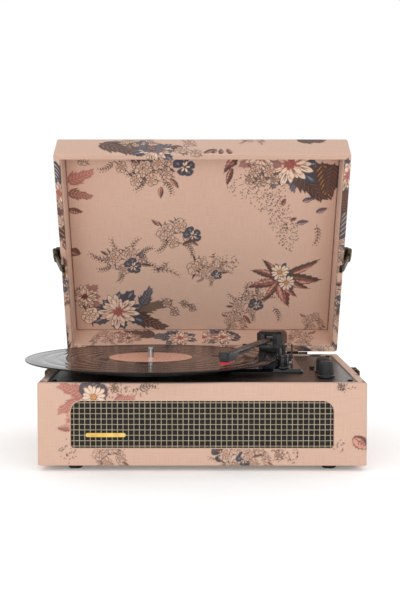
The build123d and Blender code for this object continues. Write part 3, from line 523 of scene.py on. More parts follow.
LID_FRONT_PRINT = [
    (feather(58, 34, "brown", "rose"), -128, 130, -32),
    (feather(56, 32, "olive", "blush"), -96, 126, -22),
    (bloom(22, "slate", "rose"), -58, 106),
    (feather(36, 22, "slate", "mist"), -84, 130, -50),
    (feather(30, 18, "brown", "blush"), -70, 120, -30),
    (feather(32, 18, "brown", "rose"), -36, 124, -60),
    (feather(30, 16, "slate", "mist"), -50, 128, -100),
    (line_flower(9), -16, 128),
    (line_flower(10), -26, 110),
    (line_flower(8), -8, 102),
    (posy(), -78, 134, 0, 0.7),
    (bud(14), 12, 100, 60),
    (bud(14), 22, 98, 80, 1.1),
    (bud(15), 34, 98, 96, 1.1),
    (leaf(20, 9, "brown", "rust"), 2, 100, 40),
    (feather(36, 24, "brown", "rust"), 116, 140, -8),
    (garland(), 60, 144, 0, 0.6),
]
# The lid's top, seen from outside.
BACK_PRINT = [
    (peony(), -112, 84, 20),
    (posy(), -40, 92),
    (garland(), 36, 60),
    (twin_daisies(), 112, 72),
    (posy(), 150, 6, 40, 0.9),
    (peony(), 60, -30, 150),
    (garland(), -20, 8),
    (twin_daisies(), -102, -18, 40),
    (posy(), -150, 20, 10, 0.8),
    (peony(), -60, -100, 260),
    (posy(), -140, -96),
    (garland(), 20, -108, 0, 0.9),
    (twin_daisies(), 118, -90, -30),
]
LID_SIDE_PRINT = [
    (feather(70, 48, "brown", "mist"), 192, 90, 4),
    (feather(60, 44, "slate", "cream"), 300, 88, 176),
    (feather(70, 48, "slate", "cream"), -188, 88, 176),
    (feather(60, 44, "brown", "blush"), -300, 88, 4),
    (feather(52, 34, "brown", "rust"), 196, 100, -8),
    (bloom(22, "slate", "rose"), 208, 96),
    (feather(36, 24, "brown", "rust"), 262, 98, 190),
    (leaf(16, 9, "slate", "mist"), 306, 92, 40),
    (garland(), 330, 96, 0, 0.7),
    (posy(), 386, 100, 0, 0.8),
    (feather(44, 30, "slate", "cream"), -186, 100, 182),
    (bloom(20, "slate", "rose"), -232, 94),
    (feather(40, 26, "brown", "rose"), -240, 96, 184),
    (garland(), -262, 96, 0, 0.8),
    (leaf(20, 11, "brown", "rust"), -300, 92, 200),
    (posy(), -372, 100, 0, 0.8),
]


# ---------------------------------------------------------------- meshes
def smooth_mesh(name, vertices, faces):
    """A mesh with smooth shading."""
    mesh = bpy.data.meshes.new(name)
    mesh.from_pydata(vertices, [], faces)
    mesh.polygons.foreach_set("use_smooth", [True] * len(mesh.polygons))
    return mesh


def in_scene(name, data):
    """An object that shows some data, in the row's frame."""
    made = bpy.data.objects.new(name, data)
    bpy.context.scene.collection.objects.link(made)
    return made


def piece(name, mesh, body, material):
    """A visible piece that moves with a body."""
    made = in_scene(name, mesh)
    mesh.materials.append(material)
    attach(made, body)
    return made


# ---------------------------------------------------------------- printed cloth
def inside(outline, across, up):
    """Which points of a grid lie inside an outline, by counting the edges they cross."""
    crossed = np.zeros(across.shape, bool)
    for (x0, y0), (x1, y1) in zip(outline, outline[1:] + outline[:1]):
        if y0 == y1:
            continue
        spans = (y0 > up) != (y1 > up)
        crossed ^= spans & (across < (x1 - x0) * (up - y0) / (y1 - y0) + x0)
    return crossed


def painted(us, vs, layers):
    """The print's colour at each crossing of the cloth's lines, averaged over its surroundings."""
    fine_u = np.arange(us[0], us[-1] + DOT, DOT)
    fine_v = np.arange(vs[0], vs[-1] + DOT, DOT)
    sheet = np.empty((len(fine_v), len(fine_u), 3), np.float32)
    sheet[:] = INKS["ground"]
    for outline, ink in layers:
        low_u, low_v = min(p[0] for p in outline), min(p[1] for p in outline)
        high_u, high_v = max(p[0] for p in outline), max(p[1] for p in outline)
        i0, i1 = np.searchsorted(fine_u, (low_u, high_u))
        j0, j1 = np.searchsorted(fine_v, (low_v, high_v))
        if i0 == i1 or j0 == j1:
            continue
        across, up = np.meshgrid(fine_u[i0:i1], fine_v[j0:j1])
        sheet[j0:j1, i0:i1][inside(outline, across, up)] = INKS[ink]
    soft = sheet.copy()
    for axis in (0, 1):
        soft = (np.roll(soft, 1, axis) + soft + np.roll(soft, -1, axis)) / 3
    columns = np.clip(((us - fine_u[0]) / DOT).round().astype(int), 0, len(fine_u) - 1)
    rows = np.clip(((vs - fine_v[0]) / DOT).round().astype(int), 0, len(fine_v) - 1)
    return soft[np.ix_(rows, columns)]


def lines(low, high, pitch, folds):
    """Evenly spaced lines from low to high, with the fold lines among them."""
    even = np.linspace(low, high, max(2, round((high - low) / pitch) + 1))
    marks = np.array(sorted(f for f in folds if low < f < high))
    if len(marks):
        clear = np.abs(even[:, None] - marks[None, :]).min(axis=1) > pitch * 0.4
        clear[[0, -1]] = True
        even = even[clear]
    return np.unique(np.concatenate([even, marks]))


def normals_of(points):
    """The outward direction at each point of a folded grid."""
    up, along = np.gradient(points, axis=(0, 1))
    out = np.cross(along, up)
    size = np.linalg.norm(out, axis=2, keepdims=True)
    return out / np.maximum(size, 1e-12)


def cloth(name, u_range, v_range, folds_u, folds_v, layers, place, body,
          windows=(), pitch=PITCH, painted_lightening=1.0):
    """A printed sheet of fine quads, folded into place, with its windows cut out."""
    us, vs = lines(*u_range, pitch, folds_u), lines(*v_range, pitch, folds_v)
    colours = painted(us, vs, layers)
    flat = np.stack(np.meshgrid(us, vs), axis=2)
    points = np.array([[place(u, v) for u in us] for v in vs])
    normals = normals_of(points)
    index = np.arange(len(us) * len(vs)).reshape(len(vs), len(us))
    quads = np.stack([index[:-1, :-1], index[:-1, 1:], index[1:, 1:], index[1:, :-1]], axis=2)
    middle = (flat[:-1, :-1] + flat[1:, 1:]) / 2
    kept = np.ones(quads.shape[:2], bool)
    for window in windows:
        gone = inside(window, middle[..., 0], middle[..., 1])
        kept &= ~gone
        snap_to(window, gone, flat, points, place)
    mesh = smooth_mesh(name, points.reshape(-1, 3), quads[kept].tolist())
    corners = np.zeros(len(mesh.loops), np.int32)
    mesh.loops.foreach_get("vertex_index", corners)
    rgba = np.ones((index.size, 4), np.float32)
    # A factor over 1 brightens the print as painted light, for cloth lining a shaded hollow.
    rgba[:, :3] = colours.reshape(-1, 3) * painted_lightening
    ink = mesh.color_attributes.new("print", "FLOAT_COLOR", "POINT")
    ink.data.foreach_set("color", rgba.ravel())
    mesh.uv_layers.new(name="cloth").data.foreach_set("uv", flat.reshape(-1, 2)[corners].ravel())
    mesh.normals_split_custom_set_from_vertices(normals.reshape(-1, 3))
    return piece(name, mesh, body, CLOTH)


def snap_to(window, gone, flat, points, place):
    """Moves the points round a window's hole onto the window's outline."""
    rows, columns = gone.shape
    touch = np.zeros((rows + 1, columns + 1), int)
    for dj, di in ((0, 0), (0, 1), (1, 0), (1, 1)):
        touch[dj:dj + rows, di:di + columns] += gone
    for j, i in zip(*np.nonzero((touch > 0) & (touch < 4))):
        u, v = nearest(window, flat[j, i])
        flat[j, i] = (u, v)
        points[j, i] = place(u, v)


def nearest(outline, point):
    """The point of an outline nearest to a point."""
    best, found = 1e9, point
    for a, b in zip(outline, outline[1:] + outline[:1]):
        a, b = np.array(a), np.array(b)
        span = b - a
        t = np.clip(np.dot(point - a, span) / max(np.dot(span, span), 1e-9), 0, 1)
        near = a + span * t
        reach = float(np.sum((near - point) ** 2))
        if reach < best:
            best, found = reach, near
    return float(found[0]), float(found[1])


def rounded_rect(x0, x1, y0, y1, low_r, high_r, steps=6):
    """A rectangle with one radius for its two low corners and one for its two high ones."""
    corners = [(x1, y0, low_r, -90), (x1, y1, high_r, 0), (x0, y1, high_r, 90), (x0, y0, low_r, 180)]
    outline = []
    for x, y, r, start in corners:
        cx = x - r if x == x1 else x + r
        cy = y - r if y == y1 else y + r
        for i in range(steps + 1):
            angle = radians(start + 90 * i / steps)
            outline.append((cx + r * cos(angle), cy + r * sin(angle)))
    return outline


def arc(inset, z, from_angle, to_angle, r, steps=4):
    """Points (inset, z) of a rounded edge about its centre."""
    angles = [radians(from_angle + (to_angle - from_angle) * i / steps) for i in range(steps + 1)]
    return [(inset - r * cos(a), z + r * sin(a)) for a in angles]


def with_travel(section, start_index, start_value):
    """Adds to each (inset, z) point of a section how far along the cloth it is."""
    travel = [0.0]
    for (a, b), (c, d) in zip(section, section[1:]):
        travel.append(travel[-1] + ((a - c) ** 2 + (b - d) ** 2) ** 0.5)
    shift = start_value - travel[start_index]
    return [(t + shift, a, b) for t, (a, b) in zip(travel, section)]


class Band:
    """Cloth wrapped round a box with rounded upright corners, with a section of (travel, inset, z)."""

    def __init__(self, half_w, half_d, corner_r, section, lift):
        self.half_w, self.half_d, self.r = half_w, half_d, corner_r
        self.section, self.lift = section, lift
        self.across, self.deep = 2 * (half_w - corner_r), 2 * (half_d - corner_r)
        self.turn = corner_r * pi / 2
        self.length = 2 * (self.across + self.deep + 2 * self.turn)

    def profile(self, v):
        """Inset and height at a travel v."""
        low = self.section[0]
        for high in self.section[1:]:
            if v <= high[0] or high is self.section[-1]:
                t = (v - low[0]) / (high[0] - low[0])
                return low[1] + (high[1] - low[1]) * t, low[2] + (high[2] - low[2]) * t
            low = high

    def outline_point(self, u, inset):
        """The point of the plan at a run u from the middle of the front, inset from the outside."""
        w, d = self.half_w - inset, self.half_d - inset
        r = max(self.r - inset, 0.05)
        run = (u + self.across / 2) % self.length
        sides = [(self.across, w - r, -d, 1, 0), (self.deep, w, d - r, 0, 1)]
        sides += [(self.across, w - r, d, -1, 0), (self.deep, -w, d - r, 0, -1)]
        for index, (side, a, b, dx, dy) in enumerate(sides):
            if run <= side:
                t = 2 * run / side - 1
                return (t * a * dx, b) if dx else (a, t * b * dy)
            run -= side
            if run <= self.turn:
                angle = -pi / 2 + index * pi / 2 + run / self.turn * pi / 2
                cx = (w - r) * (1 if index in (0, 1) else -1)
                cy = (d - r) * (1 if index in (1, 2) else -1)
                return cx + r * cos(angle), cy + r * sin(angle)
            run -= self.turn
        return r - w, -d

    def place(self, u, v):
        """Where a point of the flat cloth lies on the box."""
        inset, z = self.profile(v)
        x, y = self.outline_point(u, inset)
        return self.lift(x, y, z)

    def folds(self, steps=4):
        """Where the cloth is creased along the corners, as runs from the middle of the front."""
        half, run, marks = self.length / 2, -self.across / 2, []
        for side in (self.across, self.deep, self.across, self.deep):
            run += side
            for i in range(steps + 1):
                u = run + self.turn * i / steps
                marks.append(u - self.length if u > half else u)
            run += self.turn
        return marks

    def skin(self, name, layers, body, windows=(), painted_lightening=1.0):
        """The band as one printed cloth."""
        half = self.length / 2
        travels = [s[0] for s in self.section]
        span = (travels[0], travels[-1])
        return cloth(name, (-half, half), span, self.folds(), travels, layers, self.place, body,
                     windows, painted_lightening=painted_lightening)

    def corners(self):
        """The middle of each corner's run."""
        first = self.across / 2 + self.turn / 2
        second = first + self.turn + self.deep
        return [first, second, -first, -second]


def wrap_seams(band, low, high):
    """Seam-coloured strips printed where the cloth meets in mitred folds over the rim's corners."""
    half = 0.9
    return [
        ([(u - half, low), (u + half, low), (u + half, high), (u - half, high)], "seam")
        for u in band.corners()
    ]


def grille_outline():
    """The outline of the speaker opening in the case's front."""
    return rounded_rect(-GRILLE_W / 2, GRILLE_W / 2, *GRILLE_Z, GRILLE_BOTTOM_R, GRILLE_TOP_R)


def grown(outline, by):
    """An outline moved outwards from its middle, square to its sides."""
    cx = sum(p[0] for p in outline) / len(outline)
    cy = sum(p[1] for p in outline) / len(outline)
    return [(x + (by if x > cx else -by), y + (by if y > cy else -by)) for x, y in outline]


def window_reveal(name, outline, depth, front_y, towards=1.0):
    """The turned-in cloth round an opening in a wall of the case."""
    roll = 0.8
    rings = [(roll * (1 - sin(radians(a))), roll * (1 - cos(radians(a)))) for a in (0, 30, 60, 90)]
    rings.append((0.0, depth))
    vertices, faces, count = [], [], len(outline)
    for grow, back in rings:
        vertices += [at(x, front_y + back * towards, z) for x, z in grown(outline, grow)]
    for r in range(len(rings) - 1):
        for i in range(count):
            a, b = r * count + i, r * count + (i + 1) % count
            quad = (a, b, b + count, a + count)
            faces.append(quad if towards > 0 else quad[::-1])
    mesh = smooth_mesh(name, vertices, faces)
    colours = mesh.color_attributes.new("print", "FLOAT_COLOR", "CORNER")
    cloth_map = mesh.uv_layers.new(name="cloth")
    for corner, loop in enumerate(mesh.loops):
        colours.data[corner].color = (*INKS["ground"], 1.0)
        ring, step = divmod(loop.vertex_index, count)
        cloth_map.data[corner].uv = (step * 3.0, ring * 2.0)
    made = piece(name, mesh, "case", CLOTH)


# ---------------------------------------------------------------- materials
class Shader:
    """A small helper that builds one material's nodes."""

    def __init__(self, name, colour, roughness, metallic=0.0):
        self.material = bpy.data.materials.new(name)
        self.material.use_nodes = True
        self.tree = self.material.node_tree
        self.main = self.tree.nodes["Principled BSDF"]
        self.main.inputs["Base Color"].default_value = (*colour, 1.0)
        self.main.inputs["Roughness"].default_value = roughness
        self.main.inputs["Metallic"].default_value = metallic

    def set(self, **values):
        """Sets sockets of the main shader to plain values."""
        for key, value in values.items():
            self.main.inputs[key.replace("_", " ")].default_value = value

    def node(self, kind, settings=None, **inputs):
        """A node with its settings, and inputs that are values or other nodes' outputs."""
        made = self.tree.nodes.new("ShaderNode" + kind)
        for key, value in (settings or {}).items():
            setattr(made, key, value)
        for key, value in inputs.items():
            socket = made.inputs[key.replace("_", " ")]
            if isinstance(value, bpy.types.NodeSocket):
                self.tree.links.new(value, socket)
            else:
                socket.default_value = value
        return made

    def where(self, stretch=(1, 1, 1), uv=None):
        """Stretched coordinates in the object's own space, or on a named map."""
        if uv:
            source = self.node("UVMap", {"uv_map": uv}).outputs["UV"]
        else:
            source = self.node("TexCoord").outputs["Object"]
        return self.node("Mapping", Vector=source, Scale=stretch).outputs["Vector"]

    def wave(self, direction, scale, uv=None):
        """Even stripes across a direction."""
        settings = {"bands_direction": direction}
        return self.node("TexWave", settings, Vector=self.where(uv=uv), Scale=scale)

    def math(self, operation, a, b):
        """Two outputs put together."""
        made = self.node("Math", {"operation": operation})
        self.tree.links.new(a, made.inputs[0])
        self.tree.links.new(b, made.inputs[1])
        return made.outputs[0]

    def vector(self, operation, value, by=(0, 0, 0)):
        """A vector output changed by a fixed vector."""
        made = self.node("VectorMath", {"operation": operation})
        self.tree.links.new(value, made.inputs[0])
        made.inputs[1].default_value = by
        return made

    def noise(self, scale, detail=3.0, stretch=(1, 1, 1), uv=None):
        made = self.node("TexNoise", Vector=self.where(stretch, uv), Scale=scale, Detail=detail)
        return made.outputs["Fac"]

    def between(self, value, low, high, from_low=0.3, from_high=0.7):
        made = self.node("MapRange", Value=value, From_Min=from_low, From_Max=from_high)
        made.inputs["To Min"].default_value = low
        made.inputs["To Max"].default_value = high
        return made.outputs["Result"]

    def mix(self, factor, a, b, blend="MIX"):
        made = self.node("Mix", {"data_type": "RGBA", "blend_type": blend})
        for socket, value in zip((made.inputs[0], made.inputs[6], made.inputs[7]), (factor, a, b)):
            if isinstance(value, bpy.types.NodeSocket):
                self.tree.links.new(value, socket)
            elif isinstance(value, tuple):
                socket.default_value = (*value, 1.0)
            else:
                socket.default_value = value
        return made.outputs[2]

    def colour(self, socket):
        self.tree.links.new(socket, self.main.inputs["Base Color"])

    def shades(self, factor, dark, light):
        """Colour between two display colours."""
        self.colour(self.mix(factor, linear(*dark), linear(*light)))

    def roughness(self, socket):
        self.tree.links.new(socket, self.main.inputs["Roughness"])

    def bump(self, height, distance, strength=1.0):
        made = self.node("Bump", Height=height, Distance=distance, Strength=strength)
        self.tree.links.new(made.outputs["Normal"], self.main.inputs["Normal"])


def cloth_material():
    """Printed book cloth: a plain weave with slubs under the ink."""
    made = Shader("printed_cloth", INKS["ground"], 0.78)
    ink = made.node("Attribute", {"attribute_name": "print"}).outputs["Color"]
    slub_across = made.noise(1.0, 2.0, (0.05, 1.7, 1), "cloth")
    slub_up = made.noise(1.0, 2.0, (1.7, 0.05, 1), "cloth")
    shade = made.between(made.math("ADD", slub_across, slub_up), 0.9, 1.05, 0.7, 1.3)
    grey = made.node("CombineColor", Red=shade, Green=shade, Blue=shade).outputs[0]
    woven = made.mix(1.0, ink, grey, "MULTIPLY")
    cloudy = made.between(made.noise(0.02, 3.0, uv="cloth"), 0.0, 0.12)
    made.colour(made.mix(cloudy, woven, linear(205, 160, 138)))
    made.roughness(made.between(made.noise(2.5, 2.0, uv="cloth"), 0.7, 0.88))
    threads = []
    for direction in ("X", "Y"):
        wave = made.wave(direction, 0.72, "cloth")
        wave.inputs["Distortion"].default_value = 0.4
        threads.append(wave.outputs["Fac"])
    made.bump(made.math("MAXIMUM", *threads), 0.00006, 0.6)
    made.set(Sheen_Weight=0.12, Sheen_Roughness=0.5, Specular_IOR_Level=0.3)
    return made.material


def grained(name, colour, other, roughness, scale=400.0, bump=0.00003, metallic=0.0, spread=0.08):
    """A material whose colour, gloss and surface vary finely."""
    made = Shader(name, linear(*colour), roughness, metallic)
    made.shades(made.between(made.noise(scale * 0.25, 4.0), 0.0, 1.0), colour, other)
    made.roughness(made.between(made.noise(scale * 0.6), roughness - spread, roughness + spread))
    made.bump(made.noise(scale * 3, 2.0), bump, 0.5)
    return made.material


def deck_material():
    """Dark veneer with a fine horizontal grain under satin lacquer; the warm brown of its grain is
    painted reflection of the lid's pink cloth on the black deck.
    """
    made = Shader("deck_veneer", linear(44, 34, 30), 0.36)
    grain = made.noise(60.0, 6.0, (0.6, 12, 6))
    streaks = made.between(grain, 0.0, 1.0, 0.35, 0.7)
    # The grain streaks are the deck's own; their warm brown is painted reflection of the lid's pink
    # cloth.
    made.shades(streaks, (34, 26, 24), (70, 50, 42))
    made.roughness(made.between(made.noise(220.0), 0.28, 0.46))
    made.bump(grain, 0.00008, 0.5)
    made.set(Coat_Weight=0.15, Coat_Roughness=0.3)
    return made.material


def record_material():
    """Black pressed vinyl: rings of groove bump about the spindle."""
    made = Shader("record_vinyl", linear(24, 21, 21), 0.16)
    centre = at(*SPINDLE, 0)
    here = made.node("TexCoord").outputs["Object"]
    moved = made.vector("SUBTRACT", here, (centre.x, centre.y, 0)).outputs[0]
    flat = made.vector("MULTIPLY", moved, (1, 1, 0)).outputs[0]
    radius = made.vector("LENGTH", flat).outputs["Value"]
    ring = made.node("TexNoise", {"noise_dimensions": "1D"}, W=radius, Scale=900.0, Detail=4.0)
    made.bump(ring.outputs["Fac"], 0.000004, 0.15)
    made.roughness(made.between(ring.outputs["Fac"], 0.07, 0.15))
    # The vinyl is black; the warm brown in these colours is painted reflection of the lid's pink cloth,
    # in rings that follow the grooves' noise.
    made.shades(made.between(ring.outputs["Fac"], 0, 1), (16, 12, 12), (30, 22, 20))
    made.set(IOR=1.27)
    return made.material


def grille_cloth_material():
    """Black acoustic cloth with an open weave."""
    made = Shader("acoustic_cloth", linear(20, 18, 17), 0.85)
    threads = [made.wave(direction, 420.0).outputs["Fac"] for direction in ("X", "Z")]
    weave = made.math("MULTIPLY", *threads)
    made.shades(weave, (12, 11, 11), (52, 45, 38))
    made.roughness(made.between(made.noise(300.0), 0.75, 0.95))
    made.bump(weave, 0.0003, 0.8)
    return made.material


def label_material():
    """Matt paper of the record's label."""
    made = Shader("label_paper", linear(150, 104, 88), 0.3)
    fibres = made.noise(900.0, 4.0)
    made.shades(made.between(fibres, 0, 1), (206, 152, 130), (220, 166, 144))
    made.roughness(made.between(made.noise(500.0), 0.24, 0.38))
    made.bump(fibres, 0.00002, 0.4)
    return made.material


CLOTH = cloth_material()
BLACK_PLASTIC = grained("black_plastic", (14, 14, 17), (22, 22, 25), 0.36, 500.0)
GLOSS_BLACK = grained("gloss_black", (16, 15, 16), (22, 20, 20), 0.14, 200.0, 0.00001, spread=0.05)
DARK_PLASTIC = grained("satin_black", (12, 12, 15), (20, 20, 23), 0.27, 700.0, 0.00001)
RUBBER = grained("rubber", (24, 23, 23), (36, 34, 33), 0.8, 600.0, 0.00006)
BRONZE = grained("antique_bronze", (34, 28, 23), (92, 74, 50), 0.4, 700.0, 0.00008, 0.9, 0.14)
STEEL = grained("zinc_steel", (150, 150, 152), (178, 178, 180), 0.34, 500.0, metallic=1.0)
CHROME = grained("polished_chrome", (150, 148, 146), (172, 170, 168), 0.12, 300.0, 0.000004, 1.0, 0.04)
BLACK_STEEL = grained("black_steel", (24, 23, 23), (46, 43, 41), 0.4, 600.0, metallic=0.7)
BRASS = grained("brass", (196, 160, 84), (222, 190, 110), 0.3, 400.0, metallic=1.0)
BOARD = grained("fibreboard", (140, 112, 84), (166, 136, 106), 0.85, 500.0, 0.0001)
ARM_METAL = grained("arm_metal", (96, 90, 88), (116, 110, 106), 0.28, 500.0, 0.00001, 0.85)
RED = grained("red_plastic", (176, 12, 30), (196, 22, 42), 0.2, 500.0, 0.00001)
WIRE = grained("grille_wire", (168, 154, 130), (190, 176, 150), 0.4, 500.0, 0.00002, 0.4)
FELT = grained("felt", (22, 22, 22), (38, 37, 37), 0.95, 900.0, 0.0002)
CIRCUIT = grained("circuit_board", (28, 74, 44), (40, 92, 56), 0.4, 400.0)
PAPER = grained("cone_paper", (40, 39, 38), (58, 56, 54), 0.9, 700.0, 0.0001)

NODE_MATERIALS = {
    "deck_board": deck_material(),
    "grille_cloth": grille_cloth_material(),
    "record_label": label_material(),
}
NODE_GROUPS = [
    (BOARD, ["base_bottom", "corner_blocks", "speaker_baffle"]),
    (RUBBER, ["feet", "drive_belt"]),
    (STEEL, ["bottom_screws", "hinge_pins", "motor"]),
    (BLACK_STEEL, ["deck_screws", "speaker_baskets", "platter"]),
    (BLACK_STEEL, ["hinge_base_leaves", "hinge_lid_leaves"]),
    (BRASS, ["grille_badge", "rca_jacks", "spindle_bearing", "motor_pulley"]),
    (BRONZE, ["latch_catches", "latch_plates", "hasp_left", "hasp_right"]),
    (BRONZE, ["case_hardware_screws", "lid_hardware_screws"]),
    (CHROME, ["spindle", "plate_screws"]),
    (GLOSS_BLACK, ["tonearm_plate", "arm_rest", "pivot_post"]),
    (DARK_PLASTIC, ["cue_housing", "arm_yoke", "pivot_cap", "headshell", "cue_lever", "cue_platform"]),
    (BLACK_PLASTIC, ["cartridge", "volume_knob", "pitch_knob", "speed_lever", "speed_switch"]),
    (BLACK_PLASTIC, ["jack_plate", "aux_jack", "power_jack", "potentiometers", "board_standoffs"]),
    (ARM_METAL, ["arm_tube"]),
    (RED, ["stylus"]),
    (FELT, ["slip_mat"]),
    (CIRCUIT, ["circuit_board"]),
    (PAPER, ["speaker_cones"]),
]


def finish_nodes():
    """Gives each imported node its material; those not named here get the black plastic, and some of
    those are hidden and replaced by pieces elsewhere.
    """
    for material, names in NODE_GROUPS:
        for name in names:
            NODE_MATERIALS[name] = material
    for name, node in frame["nodes"].items():
        material = NODE_MATERIALS.get(name, BLACK_PLASTIC)
        if not node.material_slots:
            node.data.materials.append(material)
        for slot in node.material_slots:
            slot.material = material


# ---------------------------------------------------------------- case and lid
def case_skin():
    """The printed cloth round the case, turned in over the rim and under the bottom."""
    section = [(WALL, BASE_Z)] + arc(EDGE_R, BASE_Z + EDGE_R, -90, 0, EDGE_R)
    wall_foot = len(section) - 1
    section += arc(EDGE_R, RIM_Z - EDGE_R, 0, 90, EDGE_R)
    section += arc(WALL - 0.6, RIM_Z - 0.6, 90, 180, 0.6) + [(WALL, DECK_Z - 0.5)]
    section = with_travel(section, wall_foot, BASE_Z + EDGE_R)
    band = Band(HALF_W, HALF_D, CORNER_R, section, at)
    grille = grille_outline()
    half = band.length / 2
    jacks = rounded_rect(half - JACKS_X[1], half - JACKS_X[0], *JACKS_Z, 0.5, 0.5, 2)
    layers = laid_out(FRONT_PRINT + ROUND_PRINT)
    rim = next(s[0] for s in section if s[1] > EDGE_R - 0.01 and s[2] > RIM_Z - 0.01)
    layers += wrap_seams(band, rim, section[-1][0])
    skin = band.skin("case_cloth", layers, "case", [grown(grille, 0.8), grown(jacks, 0.8)])
    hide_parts("base_frame")
    window_reveal("grille_reveal", grille, WALL, -HALF_D)
    window_reveal("jack_reveal", rounded_rect(*JACKS_X, *JACKS_Z, 0.5, 0.5, 2), WALL, HALF_D, -1.0)


def rounded(u, v, half_w, half_d, r):
    """Pulls a rectangle's corner points in to its corner radius."""
    over_u, over_v = abs(u) - (half_w - r), abs(v) - (half_d - r)
    if over_u <= 0 or over_v <= 0:
        return u, v
    reach = (over_u**2 + over_v**2) ** 0.5
    shrink = max(over_u, over_v) / reach
    side_u, side_v = (1 if u > 0 else -1), (1 if v > 0 else -1)
    return side_u * (half_w - r + over_u * shrink), side_v * (half_d - r + over_v * shrink)


def lid_skin():
    """The printed cloth over the outside of the lid, turned in over its rim."""
    section = [(LID_WALL, RIM_Z + LINER_SETBACK + 2)]
    section += arc(LID_WALL - 0.8, RIM_Z + 0.8, 180, 270, 0.8)
    section += arc(EDGE_R, RIM_Z + EDGE_R, -90, 0, EDGE_R)
    wall_foot = len(section) - 1
    section += arc(EDGE_R, LID_TOP_Z - EDGE_R, 0, 90, EDGE_R)
    section = with_travel(section, wall_foot, RIM_Z + EDGE_R)
    band = Band(HALF_W, HALF_D, CORNER_R, section, on_lid)
    rim = RIM_Z + EDGE_R - EDGE_R * pi / 2
    raised = [(motif, x, y + 50, *rest) for motif, x, y, *rest in ROUND_PRINT]
    layers = laid_out(raised + LID_SIDE_PRINT + LID_FRONT_PRINT)
    layers += wrap_seams(band, section[0][0], rim)
    walls = band.skin("lid_cloth", layers, "lid")
    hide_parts("lid_frame")
    half_w, half_d = HALF_W - EDGE_R, HALF_D - EDGE_R

    def place(u, v):
        return on_lid(*rounded(u, v, half_w, half_d, CORNER_R - EDGE_R), LID_TOP_Z)

    top = cloth("lid_top_cloth", (-half_w, half_w), (-half_d, half_d), [], [],
                laid_out(BACK_PRINT), place, "lid")
    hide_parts("lid_panel")


def lid_lining():
    """The cloth-covered boards inside the lid: four walls and the back board."""
    inner = LID_WALL + LINER_T
    edge_z = RIM_Z + LINER_SETBACK
    deep_z = RIM_Z + LID_DEPTH
    section = [(LID_WALL, edge_z)] + arc(inner - 0.5, edge_z + 0.5, -90, -180, 0.5, 3)
    section.append((inner, deep_z + 1.5))
    section = with_travel(section, len(section) - 1, 0.0)
    band = Band(HALF_W, HALF_D, LID_WALL + 1.0, section, on_lid)
    half = band.length / 2
    lining_print = [
        (leaf(34, 15, "brown", "rose"), half - 52, -20, 30),
        (leaf(26, 18, "brown", "rose"), half - 84, -14, -150),
        (feather(34, 26, "slate", "mist"), half - 2, -18, 20),
        (bloom(19, "slate", "red"), half - 28, -18),
        (bloom(17, "rose", "red"), half - 2, -18),
        (feather(34, 24, "slate", "mist"), -half + 34, -18, 4),
        (bloom(19, "slate", "red"), -half + 30, -20),
        (feather(48, 24, "brown", "rust"), -half + 62, -14, 10),
        (bloom(15, "rose", "maroon"), -half + 100, -20),
        (garland(), -half + 132, -18, 0, 0.7),
        (garland(), half - 132, -20, 0, 0.8),
        (dots(24, 10, 40, 21), half - 104, -20),
    ]
    # The walls' colours are brightened as painted light for the lid's shaded inside.
    walls = band.skin("lid_lining", laid_out(lining_print), "lid", painted_lightening=LINING_WALL_PAINTED_LIGHT)
    walls.data.flip_normals()
    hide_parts("lid_liner")
    half_w, half_d = HALF_W - inner - PANEL_GAP, HALF_D - inner - PANEL_GAP
    edge = 1.4

    def place(u, v):
        near = min(half_w - abs(u), half_d - abs(v))
        drop = 0.0 if near >= edge else edge * (1 - (1 - (1 - max(near, 0.0) / edge) ** 2) ** 0.5)
        return on_lid(u, -v, deep_z + drop)

    insets = (0.15, 0.4, 0.8, edge)
    folds_u = [side * (half_w - inset) for side in (-1, 1) for inset in insets]
    folds_v = [side * (half_d - inset) for side in (-1, 1) for inset in insets]
    # The back board's colours are brightened as painted light for the lid's shaded inside.
    board = cloth("lid_board_cloth", (-half_w, half_w), (-half_d, half_d), folds_u, folds_v,
                  laid_out(INSIDE_PRINT), place, "lid", pitch=BOARD_PITCH, painted_lightening=LINING_PAINTED_LIGHT)
    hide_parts("lid_back_board")


# ---------------------------------------------------------------- grille
def wire(points, r, sides=6):
    """A thin round wire along points that run in one plane, as vertices and faces."""
    vertices, faces = [], []
    for i, p in enumerate(points):
        ahead = points[min(i + 1, len(points) - 1)] - points[max(i - 1, 0)]
        side = ahead.cross(Vector((0, 1, 0))).normalized()
        up = side.cross(ahead).normalized()
        for k in range(sides):
            angle = 2 * pi * k / sides
            vertices.append(p + (side * cos(angle) + up * sin(angle)) * r)
    for i in range(len(points) - 1):
        for k in range(sides):
            a, b = i * sides + k, i * sides + (k + 1) % sides
            faces.append((a, b, b + sides, a + sides))
    return vertices, faces


def crossings(outline, value, axis):
    """Where a straight line across an outline enters and leaves it."""
    found = []
    for a, b in zip(outline, outline[1:] + outline[:1]):
        if (a[axis] > value) != (b[axis] > value):
            t = (value - a[axis]) / (b[axis] - a[axis])
            found.append(a[1 - axis] + t * (b[1 - axis] - a[1 - axis]))
    return min(found), max(found)


def wire_path(outline, value, axis, index, depth):
    """The points of one wire, which swings before and behind the wires it crosses."""
    start, end = crossings(outline, value, axis)
    count = int((end - start) / (WIRE_PITCH / 4))
    points = []
    for k in range(count + 1):
        along = start + (end - start) * k / count
        swing = WIRE_SWING * MM * cos(pi * (along / WIRE_PITCH + index)) * (1 if axis else -1)
        here = at(along, 0, value) if axis else at(value, 0, along)
        points.append(Vector((here.x, depth + swing, here.z)))
    return points


